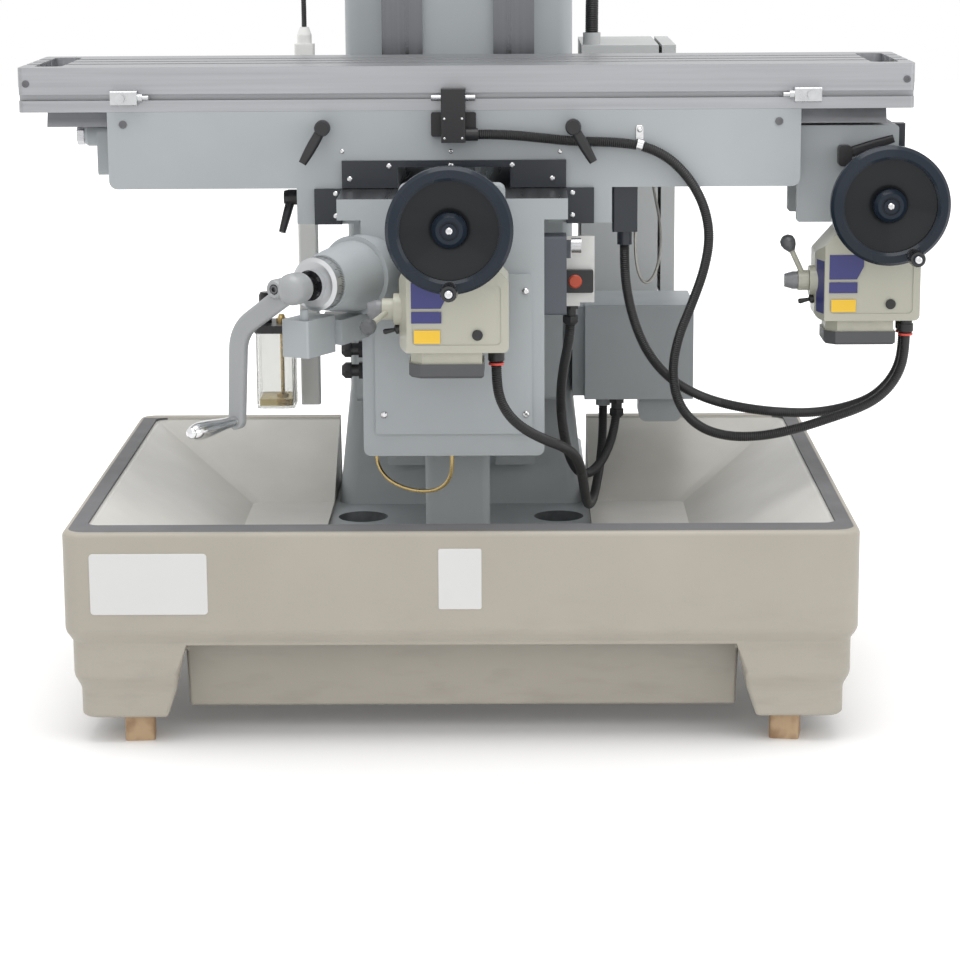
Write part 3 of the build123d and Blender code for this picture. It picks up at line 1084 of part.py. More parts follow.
Y_FEED_ROUTE = [(70, -710, Y_GLAND_Z), (70, -710, 577), (76, -710, 545), (92, -709, 518), (117, -703, 496),
                (147, -688, 478), (174, -659, 462), (193, -612, 441), (205, -556, 413), (212, -500, 375),
                (217, -430, 337), (222, -350, 303), (228, -268, 277), (236, -186, 264), (244, -109, 266),
                (250, -50, 277), (256, -15, 299), (260, 9, 331), (262, 18, 368),
                (*LOOP_END, JUNCTION_Z[0] - GLAND_LENGTH)]
OIL_ROUTE = [(-134, -480, KNEE_BOTTOM), (-134, -480, 414), (-130, -484, 393), (-117, -495, 376),
             (-97, -511, 366), (-69, -535, 362), (-41, -559, 366), (-21, -575, 376), (-8, -586, 393),
             (-4, -590, 414), (-4, -590, KNEE_BOTTOM)]
HEAD_LOW = CABINET_Z[1] + GLAND_LENGTH
HEAD_SWAY = ((0, 0, 0), (0, 0, 0.144), (3, 1, 0.321), (6, 1, 0.511), (4, 0, 0.701), (0, 0, 0.859), (0, 0, 1))
HEAD_ROUTE = [(ELBOW[0] + dx, ELBOW[1] + dy, HEAD_LOW + share * (ELBOW_Z[0] - HEAD_LOW))
              for dx, dy, share in HEAD_SWAY]


def conduit_elbow():
    """A small cast elbow on the column's side, where the head's conduit goes in."""
    half = 20
    box = block((COLUMN_HALF, ELBOW[0] + half), (ELBOW[1] - half, ELBOW[1] + half), ELBOW_Z)
    return eased(box, Axis.Y, 6)


def cord(name, points, radius):
    """A round tube along the points, with each corner an arc of 0.45 of its shorter run."""
    spots = [Vector(*p) for p in points]
    runs = [b - a for a, b in zip(spots[:-1], spots[1:])]
    radii = []
    for before, after in zip(runs[:-1], runs[1:]):
        turn = radians(before.get_angle(after))
        radii.append(0.45 * min(before.length, after.length) / tan(turn / 2))
    path = FilletPolyline(*spots, radius=radii)
    tube = sweep(Plane(origin=spots[0], z_dir=runs[0]) * Circle(radius), path)
    print(name, "radii", [round(r) for r in radii], "runs", [round(r.length) for r in runs],
          "length", round(path.length), "volume ratio", round(tube.volume / (pi * radius**2 * path.length), 4))
    return tube


# Turret, ram and head above the column
def turret():
    """The swivel base with a dovetail guide for the ram."""
    base = turned(Vector(0, TURRET_Y, COLUMN_TOP + SLIDE_GAP), UP,
                  [(0, 0), (TURRET_R, 0), (TURRET_R, 40), (TURRET_R - 22, TURRET_HEIGHT), (0, TURRET_HEIGHT)])
    low = COLUMN_TOP + SLIDE_GAP + TURRET_HEIGHT
    y = (TURRET_Y - GUIDE_LENGTH / 2, TURRET_Y + GUIDE_LENGTH / 2)
    guide = eased(block((-GUIDE_HALF, GUIDE_HALF), y, (low - 30, RAM_BOTTOM + RAM_FOOT)), Axis.Z, 20)
    top_half = RAM_HALF + BODY_GAP
    low_half = RAM_HALF + RAM_FLARE + BODY_GAP
    groove = along_y([(-top_half, RAM_BOTTOM + RAM_FOOT + 1), (top_half, RAM_BOTTOM + RAM_FOOT + 1),
                      (low_half, RAM_BOTTOM - SLIDE_GAP), (-low_half, RAM_BOTTOM - SLIDE_GAP)], (y[0] - 1, y[1] + 1))
    pivot = rod((0, TURRET_Y, COLUMN_TOP + SLIDE_GAP), UP, 10, 10)
    return base + guide + pivot - groove


RAM_BOTTOM = COLUMN_TOP + SLIDE_GAP + TURRET_HEIGHT + 14
HEAD_Z = RAM_BOTTOM + HEAD_RISE
HEAD_BOTTOM = HEAD_Z - HEAD_DROP
HEAD_TOP = HEAD_BOTTOM + HEAD_HEIGHT
QUILL_NOSE = HEAD_BOTTOM - QUILL_OUT


def ram():
    top = RAM_BOTTOM + RAM_HEIGHT
    y = (RAM_FRONT, RAM_BACK)
    foot = along_y([(-RAM_HALF, RAM_BOTTOM + RAM_FOOT + 2), (RAM_HALF, RAM_BOTTOM + RAM_FOOT + 2),
                    (RAM_HALF + RAM_FLARE, RAM_BOTTOM), (-RAM_HALF - RAM_FLARE, RAM_BOTTOM)], y)
    body = eased(block((-RAM_HALF, RAM_HALF), y, (RAM_BOTTOM + RAM_FOOT, top)), Axis.Y, 22)
    flange = rod((0, RAM_FRONT + RAM_FLANGE, HEAD_Z), FRONT, HEAD_DISC_R, RAM_FLANGE)
    below = block((-HEAD_DISC_R, HEAD_DISC_R), (RAM_FRONT, RAM_FRONT + RAM_FLANGE),
                  (HEAD_Z - HEAD_DISC_R - HEAD_RISE, RAM_BOTTOM))
    return foot + body + (flange - below)


HEAD_FACE = RAM_FRONT - SLIDE_GAP


def head():
    """The head: tilting disc, quill housing and belt guard in one casting."""
    disc = rod((0, HEAD_FACE, HEAD_Z), FRONT, HEAD_DISC_R, HEAD_DISC)
    y = (TABLE_Y - HEAD_HALF, HEAD_FACE - 40)
    body = eased(block((-HEAD_HALF, HEAD_HALF), y, (HEAD_BOTTOM, HEAD_TOP)), Axis.Z, 34)
    nose = rod((0, TABLE_Y, HEAD_BOTTOM - 24), UP, QUILL_R + 16, 24)
    guard_shape = Pos(0, TABLE_Y) * Circle(GUARD_R[0]) + Pos(0, MOTOR_Y) * Circle(GUARD_R[1])
    guard_shape += Pos(0, (TABLE_Y + MOTOR_Y) / 2) * Rectangle(2 * GUARD_R[1], MOTOR_Y - TABLE_Y)
    guard_shape = Plane.XY.offset(HEAD_TOP) * guard_shape
    guard = extrude(guard_shape, BELT_GUARD)
    quill_bore = rod((0, TABLE_Y, HEAD_BOTTOM - 30), UP, QUILL_R + SHAFT_GAP, HEAD_TOP - HEAD_BOTTOM - 20)
    pinion = rod((-HEAD_HALF - 5, PINION_Y, PINION_Z), RIGHT, 12 + SHAFT_GAP, 2 * HEAD_HALF + 20)
    lug = turned(Vector(HEAD_HALF - 6, PINION_Y, PINION_Z), RIGHT, [(0, 0), (38, 0), (32, 20), (0, 20)])
    return disc + body + nose + guard + lug - quill_bore - pinion


MOTOR_Y = TABLE_Y + 150
PINION_Y = TABLE_Y + 66
PINION_Z = HEAD_Z + 5


def head_motor():
    """The spindle motor: a finned frame, end bells and a terminal box."""
    start = Vector(0, MOTOR_Y, HEAD_TOP + BELT_GUARD)
    r = MOTOR_BODY_R
    long = HEAD_MOTOR_LENGTH
    frame = turned(start, UP, [(0, 0), (r + 12, 0), (r + 12, 14), (r - 8, 14), (r - 8, long - 70), (r, long - 70),
                               (r, long - 12), (r - 14, long), (0, long)])
    fins = 24
    for turn in range(fins):
        fin = Rot(0, 0, 360 / fins * turn) * Pos(r - 6, 0, (long - 56) / 2 + 7) * Box(14, 5, long - 84)
        frame += Pos(*start) * fin
    box = block((r - 14, r + 40), (MOTOR_Y - 46, MOTOR_Y + 46), (start.Z + 60, start.Z + 150))
    return frame + box


def quill():
    top = HEAD_TOP - 60 - 4
    tube = rod((0, TABLE_Y, QUILL_NOSE), UP, QUILL_R, top - QUILL_NOSE)
    return tube - rod((0, TABLE_Y, QUILL_NOSE - 1), UP, SPINDLE_R + SHAFT_GAP, top - QUILL_NOSE + 2)


def spindle():
    """The spindle, with its nose flange and collet bore."""
    nose = QUILL_NOSE - 30
    shaft = rod((0, TABLE_Y, nose), UP, SPINDLE_R, HEAD_TOP - 90 - nose)
    deep = 30 - BODY_GAP
    flange = turned(Vector(0, TABLE_Y, nose), UP, [(0, 0), (34, 0), (44, 12), (44, deep), (0, deep)])
    return shaft + flange - rod((0, TABLE_Y, nose), UP, TAPER_R, TAPER_LENGTH)


def quill_lever():
    """The quill feed shaft with a hub and three ball-ended spokes."""
    shaft = rod((-HEAD_HALF + 10, PINION_Y, PINION_Z), RIGHT, 12, 2 * HEAD_HALF + 10)
    start = Vector(HEAD_HALF + 14 + BODY_GAP, PINION_Y, PINION_Z)
    lever = shaft + turned(start, RIGHT, [(0, 0), (28, 0), (28, 26), (22, 32), (0, 32)])
    spokes = 3
    for turn in range(spokes):
        angle = 360 / spokes * turn + 60
        direction = Vector(0.35, sin(radians(angle)), cos(radians(angle))).normalized()
        lever += rod(start + RIGHT * 14, direction, 6, 150)
        lever += Pos(*(start + RIGHT * 14 + direction * 156)) * Sphere(15)
    return lever


save("column", column())
save("levelling_bolts", *levelling_bolts())
save("elevating_pedestal", elevating_pedestal())
save("elevating_screw", elevating_screw())
save("swarf_tray", swarf_tray())
save("tray_edge_strip", tray_edge_strip())
save("packing_blocks", *packing_blocks())
save("electrical_cabinet", electrical_cabinet(), conduit_elbow())
save("cabinet_door", cabinet_door())
save("junction_box", junction_box())
save("z_scale", z_scale())
save("lubricator_tank", lubricator_tank())
save("lubricator_pump", lubricator_pump())
save("lubricator_plunger", lubricator_plunger())
save("knee", knee())
save("knee_cover", knee_cover())
save("crank_dial", crank_dial())
save("crank_arm", crank_arm())
save("crank_handle", crank_handle())
save("y_bearing_bracket", y_bearing_bracket())
save("z_limit_switch", z_limit_switch())
save("y_screw", y_screw())
save("y_handwheel", handwheel(Y_CENTRE, Y_WHEEL_BACK) + wheel_pin(Y_CENTRE, Y_WHEEL_BACK, Y_GRIP_ANGLE))
save("y_wheel_handle", wheel_handle(Y_CENTRE, Y_WHEEL_BACK, Y_GRIP_ANGLE))
save("y_feed_housing", feed_housing(Y_CENTRE, Y_FEED_BACK, Y_FEED_SHIFT))
save("y_feed_motor", *feed_motor(Y_CENTRE, Y_FEED_BACK, Y_FEED_SHIFT, Y_GLANDS))
save("y_feed_lever", feed_lever(Y_CENTRE, Y_FEED_BACK, Y_FEED_SHIFT, 105))
save("y_feed_knob", feed_knob(Y_CENTRE, Y_FEED_BACK, Y_FEED_SHIFT))
save("saddle", saddle())
save("saddle_fittings", *way_wipers(), cable_bracket(), end_cover())
save("table_lock_lever_left", lock_lever(LOCK_X[0], -1))
save("table_lock_lever_right", lock_lever(LOCK_X[1], 1))
save("saddle_lock_lever", saddle_lock_lever())
save("x_bearing_housing", x_bearing_housing())
save("x_gearbox", x_gearbox())
save("x_clutch_lever", x_clutch_lever())
save("x_screw", x_screw())
save("x_handwheel", handwheel(X_CENTRE, X_WHEEL_BACK) + wheel_pin(X_CENTRE, X_WHEEL_BACK, X_GRIP_ANGLE),
     x_drive_shaft())
save("x_wheel_handle", wheel_handle(X_CENTRE, X_WHEEL_BACK, X_GRIP_ANGLE))
save("x_feed_housing", feed_housing(X_CENTRE, X_FEED_BACK, X_FEED_SHIFT))
save("x_feed_motor", *feed_motor(X_CENTRE, X_FEED_BACK, X_FEED_SHIFT, X_GLANDS))
save("x_feed_lever", feed_lever(X_CENTRE, X_FEED_BACK, X_FEED_SHIFT, 15))
save("x_feed_knob", feed_knob(X_CENTRE, X_FEED_BACK, X_FEED_SHIFT))
save("table", table())
save("stop_dog_left", stop_dog(DOG_X[0]))
save("stop_dog_right", stop_dog(DOG_X[1]))
save("limit_switch", limit_switch())
save("limit_plunger", limit_plunger())
save("turret", turret())
save("ram", ram())
save("head", head())
save("head_motor", head_motor())
save("quill", quill())
save("spindle", spindle())
save("quill_lever", quill_lever())
save("limit_conduit", cord("limit_conduit", LIMIT_ROUTE, CONDUIT_R))
save("x_feed_conduit", cord("x_feed_conduit", X_FEED_ROUTE, CONDUIT_R))
save("y_feed_conduit", cord("y_feed_conduit", Y_FEED_ROUTE, CONDUIT_R))
save("oil_tube", cord("oil_tube", OIL_ROUTE, OIL_R))
save("head_conduit", cord("head_conduit", HEAD_ROUTE, HEAD_CONDUIT_R))
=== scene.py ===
from math import cos, pi, radians, sin

import bmesh
import bpy
import numpy as np
from mathutils import Matrix, Vector


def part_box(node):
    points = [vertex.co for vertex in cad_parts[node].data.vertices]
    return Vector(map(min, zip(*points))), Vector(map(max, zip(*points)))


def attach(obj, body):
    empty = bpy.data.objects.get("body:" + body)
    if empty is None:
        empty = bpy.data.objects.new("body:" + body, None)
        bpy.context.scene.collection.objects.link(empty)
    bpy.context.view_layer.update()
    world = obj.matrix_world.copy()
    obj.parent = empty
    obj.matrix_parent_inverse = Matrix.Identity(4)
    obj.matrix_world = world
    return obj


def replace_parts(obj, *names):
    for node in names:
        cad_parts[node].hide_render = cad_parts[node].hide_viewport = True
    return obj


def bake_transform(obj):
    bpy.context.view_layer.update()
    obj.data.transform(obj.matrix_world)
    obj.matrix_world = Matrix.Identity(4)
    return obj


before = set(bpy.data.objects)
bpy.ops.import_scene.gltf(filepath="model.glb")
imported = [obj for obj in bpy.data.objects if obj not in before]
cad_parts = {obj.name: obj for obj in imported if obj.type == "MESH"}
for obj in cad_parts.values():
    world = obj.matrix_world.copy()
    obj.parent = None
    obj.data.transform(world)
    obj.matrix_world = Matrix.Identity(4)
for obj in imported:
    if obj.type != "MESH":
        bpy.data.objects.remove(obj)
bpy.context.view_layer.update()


# Base and column: one grey-iron casting, filled, sanded and sprayed with a satin blue-grey machine paint.
# The two flat ways on its front are left bare and ground, the recess between them is painted, and the bolt
# pockets in the base are painted dark, as painted shade in their hollows.
def start_finish(name, rough, metal=0.0, coat=0.0, gleam=0.5):
    """A material with one Principled shader; gives it, its tree, the shader and Object coordinates."""
    material = bpy.data.materials.new(name)
    material.use_nodes = True
    tree = material.node_tree
    shader = tree.nodes["Principled BSDF"]
    shader.inputs["Roughness"].default_value = rough
    shader.inputs["Metallic"].default_value = metal
    shader.inputs["Coat Weight"].default_value = coat
    shader.inputs["Specular IOR Level"].default_value = gleam
    return material, tree, shader, tree.nodes.new("ShaderNodeTexCoord").outputs["Object"]


def put(tree, kind, values, **settings):
    """Adds a node. A value that is a socket is linked to the input, and any other is set on it."""
    made = tree.nodes.new(kind)
    for key, value in settings.items():
        setattr(made, key, value)
    for key, value in values.items():
        if isinstance(value, bpy.types.NodeSocket):
            tree.links.new(value, made.inputs[key])
        else:
            made.inputs[key].default_value = value
    return made


def speckle(tree, place, scale, detail=3.0, stretch=(1, 1, 1)):
    """Noise of the given scale per metre, drawn out along the axes whose stretch is under one."""
    moved = put(tree, "ShaderNodeMapping", {"Vector": place, "Scale": stretch}).outputs["Vector"]
    return put(tree, "ShaderNodeTexNoise", {"Vector": moved, "Scale": scale, "Detail": detail}).outputs["Fac"]


def ramp(tree, value, start, end, low, high):
    """A value's range from start to end mapped to the range from low to high, and held there beyond it."""
    return put(tree, "ShaderNodeMapRange", {"Value": value, "From Min": start, "From Max": end,
                                            "To Min": low, "To Max": high}).outputs["Result"]


def spread(tree, noise, low, high):
    """The middle part of a noise, from 0.3 to 0.7, mapped to the range from low to high."""
    return ramp(tree, noise, 0.3, 0.7, low, high)


def blend_colours(tree, factor, first, second):
    """The colour first where factor is 0, second where it is 1, and a mix of them between."""
    return put(tree, "ShaderNodeMix", {0: factor, 6: first, 7: second}, data_type="RGBA").outputs[2]


def blend_values(tree, factor, first, second):
    """The value first where factor is 0, second where it is 1, and a mix of them between."""
    return put(tree, "ShaderNodeMix", {0: factor, 2: first, 3: second}, data_type="FLOAT").outputs[0]


def work_out(tree, operation, *values):
    """One step of arithmetic on sockets or numbers."""
    return put(tree, "ShaderNodeMath", dict(enumerate(values)), operation=operation).outputs[0]


def wear(tree, shader, looks):
    """Links each look to the shader's input of that name."""
    for name, socket in looks.items():
        tree.links.new(socket, shader.inputs[name])


def shade(colour, amount):
    """The colour made lighter or darker by amount, with alpha."""
    return (*[min(1.0, c * amount) for c in colour], 1.0)


def ripple(tree, shader, height, distance, strength):
    """A bump from height, distance metres deep."""
    bump = put(tree, "ShaderNodeBump", {"Height": height, "Distance": distance, "Strength": strength})
    tree.links.new(bump.outputs["Normal"], shader.inputs["Normal"])


def paint_nodes(tree, shader, place, colour, rough, cloud=0.05, peel=0.25):
    """Sprayed paint: slow clouds of shade, fine orange peel, and gloss that changes a little with place."""
    slow = speckle(tree, place, 5.0, 4.0)
    hue = blend_colours(tree, spread(tree, slow, 0, 1), shade(colour, 1 - cloud), shade(colour, 1 + cloud))
    gloss = spread(tree, speckle(tree, place, 14.0), rough - 0.05, rough + 0.07)
    ripple(tree, shader, speckle(tree, place, 420.0, 2.0), 0.0004, peel)
    return hue, gloss


def paint(name, colour, rough, coat=0.0, **more):
    """A finished paint material."""
    material, tree, shader, place = start_finish(name, rough, coat=coat)
    hue, gloss = paint_nodes(tree, shader, place, colour, rough, **more)
    wear(tree, shader, {"Base Color": hue, "Roughness": gloss})
    return material


def inside(tree, place, limits):
    """One where each coordinate named in limits lies between its two values, and zero elsewhere."""
    parts = put(tree, "ShaderNodeSeparateXYZ", {"Vector": place}).outputs
    found = 1.0
    for axis, (low, high) in limits.items():
        within = work_out(tree, "COMPARE", parts[axis], (low + high) / 2, (high - low) / 2)
        found = work_out(tree, "MULTIPLY", found, within)
    return found


def either(tree, masks):
    """One where any of the masks is one."""
    total = masks[0]
    for mask in masks[1:]:
        total = work_out(tree, "MAXIMUM", total, mask)
    return total


def paint_and_ground(name, colour, rough, steel, grain, areas, painted_shade_boxes=()):
    """A painted casting with bare ground faces in the areas, boxes of limits on the coordinates, and painted
    shade in the boxes of the last argument. The steel's grain is noise drawn out along the axis where grain
    is small."""
    material, tree, shader, place = start_finish(name, rough)
    hue, gloss = paint_nodes(tree, shader, place, colour, rough)
    # Painted shade: inside each box the colour is darkened to under a quarter of itself, with a little
    # mottle.
    for limits in painted_shade_boxes:
        shade_mottle = spread(tree, speckle(tree, place, 25.0, 5.0), 0.65, 1.0)
        depth = work_out(tree, "MULTIPLY", inside(tree, place, limits), shade_mottle)
        hue = blend_colours(tree, depth, hue, shade(colour, 0.22))
    mask = either(tree, [inside(tree, place, limits) for limits in areas])
    scratch = speckle(tree, place, 60.0, 5.0, grain)
    bare = blend_colours(tree, spread(tree, scratch, 0, 1), shade(steel, 0.82), shade(steel, 1.12))
    ground = spread(tree, scratch, 0.22, 0.42)
    wear(tree, shader, {"Base Color": blend_colours(tree, mask, hue, bare),
                        "Roughness": blend_values(tree, mask, gloss, ground), "Metallic": mask})
    return material


def dress(material, *names):
    """Gives CAD nodes a material."""
    for name in names:
        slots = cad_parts[name].data.materials
        slots.clear()
        slots.append(material)


MACHINE_GREY = (0.360, 0.386, 0.399)
GROUND_STEEL = (0.175, 0.18, 0.19)
SATIN_ROUGH = 0.40
ALONG_X, ALONG_Y, ALONG_Z = (0.03, 1, 1), (1, 0.03, 1), (1, 1, 0.03)
way_face, way_half, recess_half = -0.030, 0.136, 0.063
way_skin, way_rise = (way_face - 0.001, way_face + 0.0005), (0.42, 2.0)
ways = [{"X": span, "Y": way_skin, "Z": way_rise}
        for span in ((recess_half, way_half + 0.001), (-way_half - 0.001, -recess_half))]
# The bolt pockets get painted shade: their hollows are painted dark.
pocket_r, pocket_rise = 0.0455, (0.155, 0.2195)
pockets = [{"X": (x - pocket_r, x + pocket_r), "Y": (y - pocket_r, y + pocket_r), "Z": pocket_rise}
           for x in (-0.178, 0.178) for y in (-0.104, 0.580)]
column_paint = paint_and_ground("column_paint", MACHINE_GREY, SATIN_ROUGH, GROUND_STEEL, ALONG_Z, ways,
                                pockets)
dress(column_paint, "column")
machine_paint = paint("machine_paint", MACHINE_GREY, SATIN_ROUGH)
dress(machine_paint, "elevating_pedestal")


# Levelling bolts and the elevating screw: plated studs with heavy nuts in round pockets of the base, and
# a bright ground screw that hangs from the knee into its nut.
def metal(name, colour, rough, grain=(1, 1, 1), scale=90.0, contrast=0.12):
    """Bare metal: noise of the given scale, drawn out where grain is small, moves its shade and its gloss."""
    material, tree, shader, place = start_finish(name, rough, metal=1.0)
    scratch = speckle(tree, place, scale, 5.0, grain)
    cloud = spread(tree, scratch, 0, 1)
    hue = blend_colours(tree, cloud, shade(colour, 1 - contrast), shade(colour, 1 + contrast))
    wear(tree, shader, {"Base Color": hue, "Roughness": spread(tree, scratch, rough - 0.06, rough + 0.08)})
    return material


dress(metal("plated_steel", (0.52, 0.52, 0.53), 0.34), "levelling_bolts")
bright_screw = metal("bright_screw", (0.55, 0.55, 0.57), 0.25, grain=(1, 1, 14))
dress(bright_screw, "elevating_screw")


# Swarf tray: a thick beige moulding with a leathery skin, scuffed a little along its lower edge, whose
# pan is smoother than its outside and is painted paler, as painted light where the machine shades it. Its
# sides step in twice on the way down, with rounded edges. A dark rubber strip is let into its rim.
TRAY_BEIGE, PAN_PAINTED_LIGHT = (0.365, 0.336, 0.286), (0.56, 0.545, 0.505)
PAN = {"X": (-0.5845, 0.6085), "Y": (-0.7415, 0.1665), "Z": (0.231, 0.3525)}
PAN_ROUGH = 0.30
tray_skin, tree, shader, place = start_finish("tray_skin", 0.42)
hue, gloss = paint_nodes(tree, shader, place, TRAY_BEIGE, 0.44, cloud=0.035, peel=0.35)
scuffs = speckle(tree, place, 11.0, 6.0, (1, 1, 4))
height = put(tree, "ShaderNodeSeparateXYZ", {"Vector": place}).outputs["Z"]
low_down = ramp(tree, height, 0.30, 0.045, 0.0, 0.45)
dirt = put(tree, "ShaderNodeMath", {0: spread(tree, scuffs, -0.8, 0.8), 1: low_down},
           operation="MULTIPLY", use_clamp=True).outputs["Value"]
hue = blend_colours(tree, dirt, hue, shade(TRAY_BEIGE, 0.72))
# Painted light: inside the pan the colour is made paler, where the machine shades it.
pan_lit_and_smooth = inside(tree, place, PAN)
pan_mottle = spread(tree, speckle(tree, place, 7.0, 5.0), 0, 1)
hue = blend_colours(tree, pan_lit_and_smooth, hue, blend_colours(tree, pan_mottle, shade(PAN_PAINTED_LIGHT, 0.90), shade(PAN_PAINTED_LIGHT, 1.05)))
wear(tree, shader, {"Base Color": hue, "Roughness": blend_values(tree, pan_lit_and_smooth, gloss, PAN_ROUGH)})

TRAY_MIDDLE, TRAY_HALF = np.array([0.012, -0.300]), np.array([0.630, 0.500])
STEPS = ((0.178, 0.012, 0.006), (0.104, 0.010, 0.012))      # height, rise of its lip, fall of its foot
DRAWN_IN = ((0.180, 0.006), (0.098, 0.005))                 # below this height, by this much
RECESS_HALF, RECESS_SLANT = 0.460, 0.038 / 0.123
TOE_Y, FRONT_SKIN_Y = -0.70, -0.7935


def flowing_steps(points, ends):
    """The tray's points with its two square steps drawn out into slopes. At each step the points with an edge
    that goes up move up, and those with an edge that goes down move down. Each level below a step is drawn in
    a little more towards the tray's middle, and the toe recess keeps its slanted sides."""
    z = points[:, 2]
    off_middle = points[:, :2] - TRAY_MIDDLE
    highest, lowest = z.copy(), z.copy()
    for near_end, far_end in ((0, 1), (1, 0)):
        np.maximum.at(highest, ends[:, near_end], z[ends[:, far_end]])
        np.minimum.at(lowest, ends[:, near_end], z[ends[:, far_end]])
    rises, falls = highest > z + 0.01, lowest < z - 0.01
    recess = (points[:, 1] < TOE_Y) & (np.abs(np.abs(off_middle[:, 0]) - RECESS_HALF) < 0.025)
    outer = points[:, 1] < FRONT_SKIN_Y
    lip, foot = rises & (~falls | recess & outer), falls & (~rises | recess & ~outer)
    moved = points.copy()
    for step, up, down in STEPS:
        here = np.abs(z - step) < 0.0005
        moved[here & lip, 2] += up
        moved[here & foot, 2] -= down
    moved[:, 0] += np.where(recess, np.sign(off_middle[:, 0]) * RECESS_SLANT * (z - moved[:, 2]), 0)
    drawn_in = sum(amount * (moved[:, 2] < height) for height, amount in DRAWN_IN)
    moved[:, :2] -= drawn_in[:, None] * off_middle / TRAY_HALF
    return moved


def set_out(name, data):
    """An object made from a mesh or other data, put into the scene."""
    thing = bpy.data.objects.new(name, data)
    bpy.context.scene.collection.objects.link(thing)
    return thing


# The solid's triangles are merged into flat faces, and the underside of each step is bridged again from wall
# to wall, so that it can slope.
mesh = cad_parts["swarf_tray"].data.copy()
work = bmesh.new()
work.from_mesh(mesh)
bmesh.ops.remove_doubles(work, verts=work.verts, dist=2e-5)
bmesh.ops.dissolve_limit(work, angle_limit=radians(0.5), verts=work.verts, edges=work.edges)
ledges = [face for face in work.faces
          if face.normal.z < -0.9 and 0.10 < face.calc_center_median().z < 0.18]
for ledge in ledges:
    under_wall = {corner: max(edge.other_vert(corner).co.z for edge in corner.link_edges) > corner.co.z + 0.01
                  for corner in ledge.verts}
    sides = [edge for edge in ledge.edges if under_wall[edge.verts[0]] == under_wall[edge.verts[1]]]
    bmesh.ops.delete(work, geom=[ledge], context="FACES_ONLY")
    bmesh.ops.bridge_loops(work, edges=sides)
work.to_mesh(mesh)
work.free()
mesh.attributes.remove(mesh.attributes["custom_normal"])
ends, points = np.zeros(2 * len(mesh.edges), int), np.zeros(3 * len(mesh.vertices))
mesh.edges.foreach_get("vertices", ends)
mesh.vertices.foreach_get("co", points)
ends, points = ends.reshape(-1, 2), points.reshape(-1, 3)
mesh.shade_smooth()
mesh.set_sharp_from_angle(angle=radians(22))
sharp = np.zeros(len(ends), bool)
mesh.attributes["sharp_edge"].data.foreach_get("value", sharp)
middles = points[ends].mean(axis=1)
y, z = middles[:, 1], middles[:, 2]
depth = np.min(TRAY_HALF - np.abs(middles[:, :2] - TRAY_MIDDLE), axis=1)
points = flowing_steps(points, ends)
mesh.vertices.foreach_set("co", points.ravel())
mesh.update()
first, second = points[ends[:, 0], 2], points[ends[:, 1], 2]
flat_edge = np.abs(first - second) < 1e-4

# Each edge's rounding is a share of the full one: all of it at the rim, less at the foot and the steps.
FULL_ROUND, RIM_Z, RECESS_TOP, TOE_TOP = 0.008, 0.3525, 0.168, 0.165
ROUNDED_STEPS = ((0.190, 0.8), (0.172, 0.3), (0.114, 0.8), (0.092, 0.8))    # height, share
rounding = np.zeros(len(ends))
rounding[sharp & (y < TOE_Y) & (z < TOE_TOP)] = 0.70
rounding[sharp & (np.abs(z - RECESS_TOP) < 0.001)] = 0.20
rounding[sharp & (z > RIM_Z) & (depth < 0.00895)] = 1.0
for height, share in ROUNDED_STEPS:
    rounding[flat_edge & (depth < 0.030) & (np.abs(first - height) < 0.0005)] = share
mesh.attributes.new("bevel_weight_edge", "FLOAT", "EDGE").data.foreach_set("value", rounding)
mesh.materials.clear()
mesh.materials.append(tray_skin)
moulded_tray = set_out("moulded_tray", mesh)
ease = moulded_tray.modifiers.new("rounded_edges", "BEVEL")
ease.limit_method = "WEIGHT"
ease.width = FULL_ROUND
ease.segments = 4
ease.use_clamp_overlap = False
ease.harden_normals = True
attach(moulded_tray, "frame")
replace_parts(moulded_tray, "swarf_tray")

strip_rubber = paint("strip_rubber", (0.135, 0.135, 0.14), 0.62, cloud=0.10, peel=0.6)
dress(strip_rubber, "tray_edge_strip")


# Tray plates and packing: two thin white plates glued flat on the tray's front, and four offcuts of pine
# under its corners. The offcuts were sawn and set by hand, so they lie a little askew.
def grid_faces(rows, columns):
    """The quads of a grid of points, row by row, with each row's last point joined to its first."""
    row, column = np.mgrid[0:rows - 1, 0:columns]
    first = row * columns + column
    second = row * columns + (column + 1) % columns
    return np.stack([first, second, second + columns, first + columns], -1).reshape(-1, 4)


def add_piece(name, shapes, material, body, smooth=40):
    """One mesh piece from (points, faces) shapes, welded, turned outwards, and riding on the body, if any."""
    offset, points, faces = 0, [], []
    for shape_points, shape_faces in shapes:
        points.append(shape_points.reshape(-1, 3))
        faces.append(shape_faces + offset)
        offset += len(points[-1])
    mesh = bpy.data.meshes.new(name)
    mesh.from_pydata(np.concatenate(points).tolist(), [], [list(face) for group in faces for face in group])
    work = bmesh.new()
    work.from_mesh(mesh)
    bmesh.ops.remove_doubles(work, verts=work.verts, dist=1e-6)
    bmesh.ops.recalc_face_normals(work, faces=work.faces)
    work.to_mesh(mesh)
    work.free()
    mesh.shade_smooth()
    mesh.set_sharp_from_angle(angle=radians(smooth))
    mesh.materials.append(material)
    piece = set_out(name, mesh)
    if body:
        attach(piece, body)
    return piece


